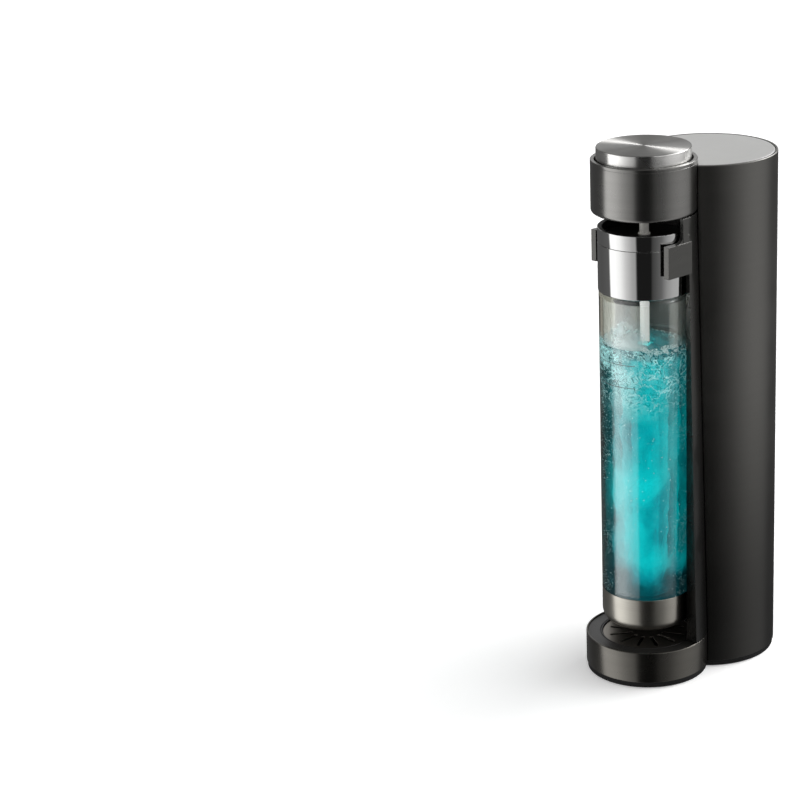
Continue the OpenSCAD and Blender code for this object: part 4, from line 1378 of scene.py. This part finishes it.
@dataclass
class BottleHolder(Assembly):
    """Tilting chrome holder with its nozzle and dip tube."""

    radius: float = 36.8
    sleeve_inner: float = 34.4
    sleeve_foot: float = 324.9
    sleeve_top: float = 363.9
    ring_inner: float = 33.2
    ring_foot: float = 364.3
    ring_top: float = 376.3
    spigot_foot: float = 361.5
    spigot_radius: float = 34.35
    seam_depth: float = 1.0
    tube_radius: float = 3.7
    bore: float = 1.5
    cap_foot: float = 366.3
    cap_top: float = 369.3
    flange_radius: float = 4.9
    flange_top: float = 370.3
    lip: float = 0.5
    inlay_depth: float = 0.8
    inlay_drop: float = 0.15
    inlay_gap: float = 0.02
    liner: float = 0.2
    liner_gap: float = 0.05
    nozzle_top: float = 386.0
    tip: float = 1.2
    dip_foot: float = 206.3

    def build(self) -> None:
        """Make sleeve, ring, nozzle and tube, and dress the rest."""
        self._seat("chrome_sleeve", self._sleeve(), Slot.CHROME, ["holder_sleeve"])
        self._seat("chrome_ring", self._ring(), Slot.CHROME, ["holder_ring"])
        self._seat("ring_inlay", self._inlay(), Slot.PLASTIC, finish=self.rack.matt("liner_black"))
        # The nozzle takes a darker copy of the tube's finish with a weaker painted glow.
        dull = self.rack.like(Slot.TUBE, "nozzle_grey", colour=(0.6, 0.59, 0.55), glow=0.1)
        self._seat("nozzle_stem", self._nozzle(), Slot.TUBE, ["nozzle"], dull)
        self._seat("dip_pipe", self._dip(), Slot.TUBE, ["dip_tube"])
        self.dress(Slot.PLASTIC, "holder_cap", "lock_ring")
        self.dress(Slot.RUBBER, "bottle_seal")
        self.dress(Slot.STEEL, "trunnion_pins")

    def _seat(
        self,
        name: str,
        corners: list[Corner],
        slot: Slot,
        nodes: Sequence[str] = (),
        finish: Material | None = None,
    ) -> None:
        """Sweep one profile and seat it on the holder."""
        self.seat(Turned.sweep(name, corners), Body.HOLDER, slot, nodes, finish)

    def _sleeve(self) -> list[Corner]:
        """Give the profile of the sleeve.

        Returns:
            Its corners.
        """
        return [
            Corner(self.sleeve_inner, self.sleeve_foot, 0.4),
            Corner(self.radius, self.sleeve_foot, 0.7),
            Corner(self.radius, self.sleeve_top, 0.12),
            Corner(self.sleeve_inner, self.sleeve_top),
        ]

    def _ring(self) -> list[Corner]:
        """Give the profile of the ring, with its spigot, its seam and a recess for the inlay.

        Returns:
            Its corners.
        """
        seam, lip = self.radius - self.seam_depth, self.radius - self.lip
        recess = self.ring_top - self.inlay_depth
        return [
            Corner(self.ring_inner, self.spigot_foot),
            Corner(self.spigot_radius, self.spigot_foot),
            Corner(self.spigot_radius, self.sleeve_top),
            Corner(seam, self.sleeve_top),
            Corner(seam, self.ring_foot),
            Corner(self.radius, self.ring_foot, 0.12),
            Corner(self.radius, self.ring_top, 0.3),
            Corner(lip, self.ring_top, 0.1),
            Corner(lip, recess),
            Corner(self.ring_inner, recess),
        ]

    def _inlay(self) -> list[Corner]:
        """Give the profile of the black inlay, which also lines the ring down to its cap.

        Returns:
            Its corners.
        """
        inner, outer = self.ring_inner - self.liner, self.radius - self.lip - self.inlay_gap
        recess, top = self.ring_top - self.inlay_depth, self.ring_top - self.inlay_drop
        foot = self.cap_top + self.liner_gap
        return [
            Corner(self.ring_inner, foot),
            Corner(self.ring_inner + self.liner / 2, recess),
            Corner(outer, recess + self.inlay_gap),
            Corner(outer, top, 0.2),
            Corner(inner, top, 0.3),
            Corner(inner, foot),
        ]

    def _nozzle(self) -> list[Corner]:
        """Give the profile of the nozzle, with its flange and its chamfered tip.

        Returns:
            Its corners.
        """
        return [
            Corner(self.bore, self.cap_foot),
            Corner(self.tube_radius, self.cap_foot),
            Corner(self.tube_radius, self.cap_top),
            Corner(self.flange_radius, self.cap_top, 0.3),
            Corner(self.flange_radius, self.flange_top, 0.5),
            Corner(self.tube_radius, self.flange_top, 0.6),
            Corner(self.tube_radius, self.nozzle_top - self.tip, 0.3),
            Corner(self.tube_radius - self.tip, self.nozzle_top, 0.3),
            Corner(self.bore, self.nozzle_top, 0.2),
        ]

    def _dip(self) -> list[Corner]:
        """Give the profile of the dip tube.

        Returns:
            Its corners.
        """
        return [
            Corner(self.bore, self.dip_foot, 0.2),
            Corner(self.tube_radius, self.dip_foot, 0.5),
            Corner(self.tube_radius, self.cap_foot),
            Corner(self.bore, self.cap_foot),
        ]


@dataclass(frozen=True)
class Swarm:
    """Number of bubbles in one place, with their smallest and largest radius."""

    count: int
    sizes: Point

    def draw(self, chance: random.Random) -> Iterator[float]:
        """Draw the radius of each bubble, one at a time."""
        for _ in range(self.count):
            yield chance.uniform(*self.sizes)


@dataclass(frozen=True)
class Bubbles:
    """Places of the bubbles in the water."""

    inner_radius: float
    floor: float
    level: float
    seed: int = 7
    gap: float = 0.05
    wall: Swarm = Swarm(900, (0.2, 0.55))
    wall_top: float = 2.0
    wall_depth: float = 150.0
    wall_crowding: float = 2.2
    foam: Swarm = Swarm(600, (0.25, 0.9))
    foam_heading: Point = (-75.0, 55.0)
    foam_inward: float = 0.3
    foam_lift: Point = (-0.2, 1.0)
    side: Swarm = Swarm(2600, (0.12, 0.34))
    side_headings: Point = (-108.0, 12.0)
    side_spread: float = 11.0
    side_foot: float = 12.0
    side_top: float = 60.0
    patch_scale: float = 0.035
    patch_chance: float = 0.4
    patch_least: float = 0.2
    bed: Swarm = Swarm(260, (0.15, 0.42))
    bed_foot: float = 2.0
    bed_height: float = 9.0
    bed_edge: float = 1.0

    def spots(self) -> list[tuple[Vector, float]]:
        """Scatter all bubbles: on the wall, in the foam, at two sides and over the floor.

        Returns:
            Place and radius of each, in millimetres.
        """
        chance = random.Random(self.seed)
        swarms = (
            (self.wall, self._on_wall),
            (self.foam, self._in_foam),
            (self.side, self._at_side),
            (self.bed, self._on_bed),
        )
        made = []
        for swarm, place in swarms:
            for size in swarm.draw(chance):
                spot = place(chance, size)
                if spot is not None:
                    made.append((spot, size))
        return made

    def _on_wall(self, chance: random.Random, size: float) -> Vector:
        """Place a bubble on the wall, more often near the surface.

        Args:
            chance: Source of random numbers.
            size: Radius of the bubble.

        Returns:
            Its middle.
        """
        depth = chance.random() ** self.wall_crowding
        angle = chance.uniform(0, FULL_TURN)
        height = self.level - self.wall_top - depth * self.wall_depth
        return round_the_axis(self.inner_radius - size - self.gap, angle, height)

    def _in_foam(self, chance: random.Random, size: float) -> Vector:
        """Place a bubble in the foam on the surface, mostly at the front.

        Args:
            chance: Source of random numbers.
            size: Radius of the bubble.

        Returns:
            Its middle.
        """
        angle = math.radians(chance.gauss(*self.foam_heading))
        reach = (self.inner_radius - size) * (1.0 - self.foam_inward * chance.random() ** 2)
        spot = round_the_axis(reach, angle, self.level)
        spot.z += swell(spot * MM) / MM + chance.uniform(*self.foam_lift)
        return spot

    def _at_side(self, chance: random.Random, size: float) -> Vector | None:
        """Place a small bubble in the patches at two sides of the wall, or none between them.

        Args:
            chance: Source of random numbers.
            size: Radius of the bubble.

        Returns:
            Its middle, or None.
        """
        angle = math.radians(chance.choice(self.side_headings) + chance.gauss(0.0, self.side_spread))
        height = chance.uniform(self.floor + self.side_foot, self.level - self.side_top)
        spot = round_the_axis(self.inner_radius - size - self.gap, angle, height)
        patch = noise.noise(spot * self.patch_scale) + self.patch_chance * chance.random()
        return spot if patch > self.patch_least else None

    def _on_bed(self, chance: random.Random, size: float) -> Vector:
        """Place a bubble over the floor, higher towards its rounded edge.

        Args:
            chance: Source of random numbers.
            size: Radius of the bubble, which is not used.

        Returns:
            Its middle.
        """
        angle = chance.uniform(0, FULL_TURN)
        reach = (self.inner_radius - self.bed_edge) * math.sqrt(chance.random())
        lift = self.bed_height * (reach / self.inner_radius) ** 6
        height = self.floor + self.bed_foot + chance.uniform(0.0, self.bed_height) + lift
        return round_the_axis(reach, angle, height)


def swell(at: Vector) -> float:
    """Give the height of the churned surface at a point.

    Args:
        at: The point in metres.

    Returns:
        The height above the water's level in metres.
    """
    lean = SWELL_LEAN * (at.x + at.y - BOTTLE_Y * MM)
    broad = BROAD_WAVE[0] * noise.noise(Vector((at.x, at.y, 0.0)) * BROAD_WAVE[1])
    return lean + broad + FINE_WAVE[0] * noise.noise(at * FINE_WAVE[1])


def churn(piece: Piece, above: float) -> Piece:
    """Let the part of a piece above a height follow the churned surface.

    Args:
        piece: The piece.
        above: The height in millimetres.

    Returns:
        The piece.
    """
    for vertex in piece.data.vertices:
        if vertex.co.z > above * MM:
            vertex.co.z += swell(vertex.co)
    return piece


@dataclass
class Bottle(Assembly):
    """Glass bottle with its steel cup, the water in it and the bubbles."""

    radius: float = 36.25
    foot_radius: float = 35.2
    foot: float = 43.7
    foot_rounding: float = 9.0
    inner_radius: float = 33.0
    floor: float = 48.7
    shoulder: float = 324.6
    step_radius: float = 33.7
    bend: Corner = Corner(33.0, 330.5, 6.0)
    slope: Corner = Corner(29.8, 336.2, 4.0)
    neck_radius: float = 25.5
    neck_inner: float = 23.3
    neck_foot: float = 339.0
    neck_wall: float = 2.0
    mouth: float = 363.0
    shoulder_wall: float = 4.0
    cup_foot: float = 42.5
    cup_top: float = 71.8
    cup_inner: float = 35.25
    cup_rounding: float = 10.0
    cup_floor: float = 1.2
    cup_wall: float = 1.0
    level: float = 281.5
    overlap: float = 0.06
    surface_parts: int = 8
    surface_band: float = 1.0
    meniscus: tuple[Corner, ...] = (Corner(0.0, 1.4), Corner(-0.5, 0.6, 0.6), Corner(-2.5, 0.0, 2.0))
    cloud: Stops = ((0.1, 27.0), (0.35, 29.0), (0.6, 29.5), (0.78, 30.0), (0.9, 30.5))
    layers: tuple[float, ...] = (1.0, 0.83, 0.66, 0.46, 0.27)
    layer_step: float = 4.0
    layer_foot: Point = (4.0, 40.0)
    layer_top: Point = (5.0, 8.0)
    layer_hole: float = 1.0
    layer_churn: float = 8.0
    narrow: float = 0.4
    wave_shift: float = 0.3
    wave_scales: Point = (40.0, 100.0)
    wave_share: float = 0.5
    wave_size: float = 0.13
    wall_gap: float = 1.0
    on_axis: float = 1e-6
    curl_reach: float = 62.0
    curl_skin: float = 0.3
    curl_gap: float = 0.4
    curl_drop: float = 1.5
    film: float = 0.15
    film_gap: float = 0.05
    film_foot: float = 1.5
    film_top: float = 5.0
    fine_from: float = 0.4
    bore: float = 4.2
    bore_foot: float = 204.0
    fill_heights: Point = (271.0, 252.6)
    fill_start: float = -112.0
    fill_sweep: float = 54.0
    fill_steps: int = 24
    fill_section: Stops = ((0.005, -0.25), (0.06, -0.25), (0.06, 0.25), (0.005, 0.25))

    def build(self) -> None:
        """Make glass, cup, water, fizz, bubbles, spray and fill lines."""
        self._glass()
        self._cup()
        self._water()
        self._fizz()
        self._bubbles()
        self._spray()
        self._fill_lines()
        self.dress(Slot.STEEL, "neck_band")

    def _contain(self, piece: Piece, finish: Material) -> None:
        """Seat a piece that only the bottle holds."""
        self.seat(piece, Body.BOTTLE, Slot.GLASS, finish=finish)

    def _glass(self) -> None:
        """Blow the bottle."""
        corners = [
            Corner(0, self.foot),
            Corner(self.foot_radius, self.foot, self.foot_rounding),
            Corner(self.foot_radius, self.cup_top, 0.2),
            Corner(self.radius, self.cup_top, 0.4),
            Corner(self.radius, self.shoulder, 1.0),
            Corner(self.step_radius, self.shoulder, 0.3),
            self.bend,
            self.slope,
            Corner(self.neck_radius, self.neck_foot, 2.0),
            Corner(self.neck_radius, self.mouth, 0.9),
            Corner(self.neck_inner, self.mouth, 0.9),
            Corner(self.neck_inner, self.neck_foot - self.neck_wall, 3.0),
            Corner(self.inner_radius, self.shoulder - self.shoulder_wall, 3.0),
            Corner(self.inner_radius, self.floor, self.foot_rounding),
            Corner(0, self.floor),
        ]
        self.seat(Turned.sweep("glass_bottle", corners), Body.BOTTLE, Slot.GLASS, ["bottle_vessel"])

    def _cup(self) -> None:
        """Draw the steel cup."""
        base = self.cup_foot + self.cup_floor
        corners = [
            Corner(0, self.cup_foot),
            Corner(self.radius, self.cup_foot, self.cup_rounding),
            Corner(self.radius, self.cup_top, 0.35),
            Corner(self.cup_inner, self.cup_top, 0.35),
            Corner(self.cup_inner, base, self.cup_rounding - self.cup_wall),
            Corner(0, base),
        ]
        self.seat(Turned.sweep("steel_cup", corners), Body.BOTTLE, Slot.CUP, ["bottle_cup"])

    def _water(self) -> None:
        """Fill the bottle, with the water drawn up a little at the wall and open round the dip tube."""
        reach, bottom, parts = self.inner_radius + self.overlap, self.floor - self.overlap, self.surface_parts
        corners = [
            Corner(0, bottom),
            Corner(reach, bottom, self.foot_rounding),
            *(Corner(reach + rim.r, self.level + rim.z, rim.rounding) for rim in self.meniscus),
            *(Corner(reach * k / parts, self.level) for k in range(parts - 1, 1, -1)),
            Corner(self.bore, self.level),
            Corner(self.bore, self.bore_foot),
            Corner(0, self.bore_foot),
        ]
        water = churn(Turned.sweep("water", corners), self.level - self.surface_band)
        self._contain(water, self.rack.make(Water("teal_water")))

    def _fizz(self) -> None:
        """Raise the cloud of fine bubbles inside the water, and the curls of froth round its top."""
        finish = self.rack.make(Fizz("fizz", self.floor, self.level, self.inner_radius))
        for number, share in enumerate(self.layers, 1):
            self._contain(self._layer(number, share), finish)
        outer = self.inner_radius - self.curl_gap
        band = self._band(outer, self.curl_skin, self.level - self.curl_reach, self.level - self.curl_drop)
        curls = churn(Turned.sweep("froth_curls", band), self.level - 2 * self.curl_drop)
        self._contain(curls, self.rack.make(Curls("froth_curls", self.level, self.curl_reach)))

    @staticmethod
    def _band(outer: float, skin: float, low: float, high: float) -> list[Corner]:
        """Give the profile of a thin upright band."""
        inner = outer - skin
        return [Corner(outer, low), Corner(outer, high), Corner(inner, high), Corner(inner, low)]

    def _layer(self, number: int, share: float) -> Piece:
        """Make one wavy layer of the fizz cloud.

        Args:
            number: Number of the layer.
            share: Its width as a share of the whole cloud's.

        Returns:
            The layer.
        """
        low = self.floor + self.layer_foot[0] + self.layer_foot[1] * (1.0 - share)
        top = self.level - self.layer_top[0] - self.layer_top[1] * (1.0 - share)
        hole = self.bore + self.layer_hole
        corners = [
            Corner(0, low),
            Corner(20.0 * share, low + 2.0, 6.0),
            *(Corner(r * share, low + (top - low) * part, 8.0) for part, r in self.cloud),
            Corner((self.inner_radius - 3.0) * share, top - 2.0, 3.0),
            Corner(8.0 + 10.0 * share, top) if share > self.narrow else Corner(7.5, top - 0.5),
            Corner(hole, top),
            Corner(hole, self.bore_foot),
            Corner(0, self.bore_foot),
        ]
        layer = Turned.sweep(f"fizz_cloud_{number}", Turned.fine(corners, self.layer_step))
        axis = Vector((0.0, BOTTLE_Y * MM, 0.0))
        shift = Vector((0.0, 0.0, self.wave_shift * number))
        broad, fine = self.wave_scales
        for vertex in layer.data.vertices:
            out = Vector((vertex.co.x, vertex.co.y, 0.0)) - axis
            spot = vertex.co + shift
            wave = noise.noise(spot * broad) + self.wave_share * noise.noise(spot * fine)
            widest = (self.inner_radius - self.wall_gap) * MM
            grown = min(out.length * (1.0 + self.wave_size * wave), widest)
            if out.length > self.on_axis:
                vertex.co += out * (grown / out.length - 1.0)
        return churn(layer, top - self.layer_churn)

    def _bubbles(self) -> None:
        """Make the bubbles, with a coarse mesh for the small ones."""
        coarse, fine = self._ball(1), self._ball(2)
        points: list[Vector] = []
        skins: list[list[int]] = []
        for at, size in Bubbles(self.inner_radius, self.floor, self.level).spots():
            shape, faces = fine if size > self.fine_from else coarse
            first = len(points)
            points.extend((at + corner * size) * MM for corner in shape)
            skins.extend([first + index for index in face] for face in faces)
        data = bpy.data.meshes.new("bubbles")
        data.from_pydata(points, [], skins)
        data.shade_smooth()
        # The froth on the bubbles has a faint painted glow.
        froth = Speckled(
            "froth", (0.72, 0.9, 0.9), dim=0.75, scale=700.0, roughness=0.12, coat=0.5, glow=0.15
        )
        self._contain(in_scene("bubbles", data), self.rack.make(froth))

    @staticmethod
    def _ball(level: int) -> tuple[list[Vector], list[list[int]]]:
        """Give the corners and faces of a round bubble.

        Args:
            level: Fineness of the mesh.

        Returns:
            The corners and, for each face, the numbers of its corners.
        """
        pattern = bmesh.new()
        bmesh.ops.create_icosphere(pattern, subdivisions=level, radius=1.0)
        shape = [v.co.copy() for v in pattern.verts]
        faces = [[v.index for v in f.verts] for f in pattern.faces]
        pattern.free()
        return shape, faces

    def _spray(self) -> None:
        """Wet the inside of the glass above the water, with strips of painted reflection."""
        low, high = self.level + self.film_foot, self.shoulder - self.film_top
        band = self._band(self.inner_radius - self.film_gap, self.film, low, high)
        self._contain(Turned.sweep("spray_film", band), self.rack.make(Spray("spray", self.level)))

    def _fill_lines(self) -> None:
        """Print two short fill lines on the glass."""
        mesh = bmesh.new()
        for height in self.fill_heights:
            rings = []
            for k in range(self.fill_steps + 1):
                angle = math.radians(self.fill_start + self.fill_sweep * k / self.fill_steps)
                spots = (
                    round_the_axis(self.radius + out, angle, height + rise)
                    for out, rise in self.fill_section
                )
                rings.append([mesh.verts.new(spot * MM) for spot in spots])
            bridge(mesh, rings)
            cap(mesh, rings)
        bmesh.ops.recalc_face_normals(mesh, faces=mesh.faces)
        ink = Speckled("fill_print", (0.1, 0.11, 0.11), dim=0.85, scale=2500.0, roughness=0.45)
        self._contain(as_piece("fill_lines", mesh), self.rack.make(ink))


@dataclass(frozen=True)
class PaleFloor(Finish):
    """Faintly mottled pale floor with a light of its own."""

    tones: tuple[Colour, Colour] = ((0.9, 0.9, 0.9), (0.93, 0.93, 0.925))
    scale: float = 300.0
    roughness: float = 0.9
    specular: float = 0.1
    glow: float = 0.35

    def wire(self, bench: Desk) -> None:
        """Wire the material.

        Args:
            bench: Bench of the material.
        """
        bench.shade({
            "Base Color": bench.mix(bench.clouds(bench.place(), self.scale, 2.0), *self.tones),
            "Roughness": self.roughness,
            "Specular IOR Level": self.specular,
            "Emission Color": WHITE,
            "Emission Strength": self.glow,
        })


@dataclass
class Studio:
    """Camera, pale floor and soft surrounding light.

    Light panels are given by their angle in degrees from the camera, to the right, and their brightness.
    """

    aim: tuple[float, float, float] = (0.0, -0.0385, 0.220)
    azimuth: float = 44.6
    elevation: float = 19.3
    distance: float = 2.0
    focal: float = 2478.5
    spot: Point = (645.4, 413.3)
    roll: float = -0.4
    picture: float = 800.0
    sensor: float = 36.0
    floor_reaches: tuple[float, ...] = (14.0, 4.0, 1.0, 0.3, 0.0001)
    floor_sides: int = 64
    low: Stops = (
        (-180, 0.1), (-125, 0.15), (-96, 0.2), (-91, 2.4), (-80, 2.3), (-62, 1.9), (-46, 1.2), (-30, 0.75),
        (-22, 0.65), (-18, 0.02), (16, 0.02), (20, 0.1), (43, 0.25), (58, 0.55), (74, 0.75), (91, 0.8),
        (113, 0.6), (122, 0.1), (180, 0.06),
    )
    high: Stops = (
        (-180, 0.85), (-150, 0.5), (-120, 0.1), (-106, 0.1), (-99, 2.6), (-66, 2.1), (-54, 0.3), (-30, 0.0),
        (18, 0.0), (30, 2.2), (60, 2.4), (72, 0.6), (105, 0.7), (150, 0.85), (180, 0.85),
    )
    crown: Stops = (
        (-180, 0.8), (-150, 0.4), (-120, 0.1), (-99, 0.2), (-60, 0.2), (18, 0.0), (30, 1.0), (60, 1.2),
        (78, 4.0), (98, 8.0), (114, 11.0), (140, 11.0), (150, 0.85), (180, 0.8),
    )
    rise: Point = (0.05, 0.25)
    crest: Point = (0.26, 0.36)
    over: Point = (0.55, 0.75)
    overhead: Colour = (0.4, 0.4, 0.4)
    behind: float = 100.0
    card_edge: Point = (128.0, 158.0)
    flag: Colour = (0.015, 0.025, 0.025)
    card: Colour = (0.32, 0.305, 0.25)

    def build(self) -> None:
        """Set up the whole studio."""
        bpy.context.scene.view_settings.view_transform = "Standard"
        self._camera()
        self._floor()
        self._light()

    def _camera(self) -> None:
        """Aim the camera so that the bottle axis lands on its place in the picture."""
        turn, rise = math.radians(self.azimuth), math.radians(self.elevation)
        back = Vector((math.sin(turn) * math.cos(rise), -math.cos(turn) * math.cos(rise), math.sin(rise)))
        middle = self.picture / 2
        across, up = (self.spot[0] - middle) / self.focal, (middle - self.spot[1]) / self.focal
        seen = self._basis(Vector((across, up, -1.0)).normalized(), Vector((0, 1, 0)))
        real = Matrix.Rotation(math.radians(self.roll), 3, back) @ self._basis(-back, Vector((0, 0, 1)))
        lens = bpy.data.cameras.new("camera")
        lens.sensor_width = self.sensor
        lens.lens = self.focal / self.picture * lens.sensor_width
        camera = bpy.data.objects.new("camera", lens)
        place = Matrix.Translation(Vector(self.aim) + back * self.distance)
        camera.matrix_world = place @ (real @ seen.transposed()).to_4x4()
        bpy.context.scene.collection.objects.link(camera)
        bpy.context.scene.camera = camera

    @staticmethod
    def _basis(ahead: Vector, up: Vector) -> Matrix:
        """Build three square axes.

        Args:
            ahead: First axis.
            up: Direction that the second axis leans to.

        Returns:
            The axes as columns.
        """
        second = (up - ahead * up.dot(ahead)).normalized()
        return Matrix((ahead, second, ahead.cross(second))).transposed()

    def _floor(self) -> None:
        """Lay the pale floor, which shows in no reflection and casts no shadow."""
        mesh = bmesh.new()
        rings = []
        for reach in self.floor_reaches:
            angles = (FULL_TURN * k / self.floor_sides for k in range(self.floor_sides))
            rings.append([mesh.verts.new((reach * math.cos(a), reach * math.sin(a), 0.0)) for a in angles])
        bridge(mesh, rings)
        floor = as_piece("floor", mesh)
        floor.data.materials.append(PaleFloor("pale_floor").build())
        floor.visible_glossy = False
        floor.visible_transmission = False
        floor.visible_shadow = False

    def _light(self) -> None:
        """Surround the machine with soft panels of light and dark gaps between them."""
        world = bpy.data.worlds.new("studio")
        bpy.context.scene.world = world
        world.use_nodes = True
        world.node_tree.nodes.clear()
        bench = Bench(world.node_tree)
        way = bench.node("SeparateXYZ", {0: bench.node("TexCoord").outputs["Generated"]})
        around = bench.math("ARCTAN2", way.outputs["X"], bench.times(way.outputs["Y"], -1.0))
        angle = bench.math("WRAP", bench.less(around, math.radians(self.azimuth)), math.pi, -math.pi)
        turn = bench.spread(angle, (-math.pi, math.pi), UNIT)
        low, high, crown = (self._panels(bench, turn, levels) for levels in (self.low, self.high, self.crown))
        spans = (self.rise, self.crest, self.over)
        rise, crest, over = (bench.spread(way.outputs["Z"], span, UNIT, smooth=True) for span in spans)
        sides = bench.mix(crest, bench.mix(rise, low, high), crown)
        away = bench.math("ABSOLUTE", angle)
        edge = tuple(math.radians(limit) for limit in self.card_edge)
        screen = bench.mix(bench.spread(away, edge, UNIT, smooth=True), self.flag, self.card)
        ray = bench.node("LightPath").outputs
        rear = bench.math("GREATER_THAN", away, math.radians(self.behind))
        lit, through, plain = (
            bench.node("Background", {"Color": colour, "Strength": 1.0}).outputs[0]
            for colour in (bench.mix(over, sides, self.overhead), screen, WHITE)
        )
        share = bench.times(ray["Is Transmission Ray"], rear)
        lit = bench.node("MixShader", {0: share, 1: lit, 2: through}).outputs[0]
        both = bench.node("MixShader", {0: ray["Is Camera Ray"], 1: lit, 2: plain})
        bench.node("OutputWorld", {"Surface": both.outputs[0]})

    @staticmethod
    def _panels(bench: Bench, turn: Socket, levels: Stops) -> Socket:
        """Give the brightness of a ring of panels at a place round the machine."""
        return bench.grey_ramp(turn, [((angle + 180.0) / 360.0, level) for angle, level in levels])


def main() -> None:
    """Build the studio and every sub-assembly."""
    logging.basicConfig(level=logging.INFO, format="%(name)s: %(message)s")
    Studio().build()
    rack = FinishRack()
    for kind in (PressKnob, Head, Spine, Base, DripTray, RearCover, GasSupply, BottleHolder, Bottle):
        kind(rack).build()
        LOG.info("%s done", kind.__name__)


if __name__ == "__main__":
    main()
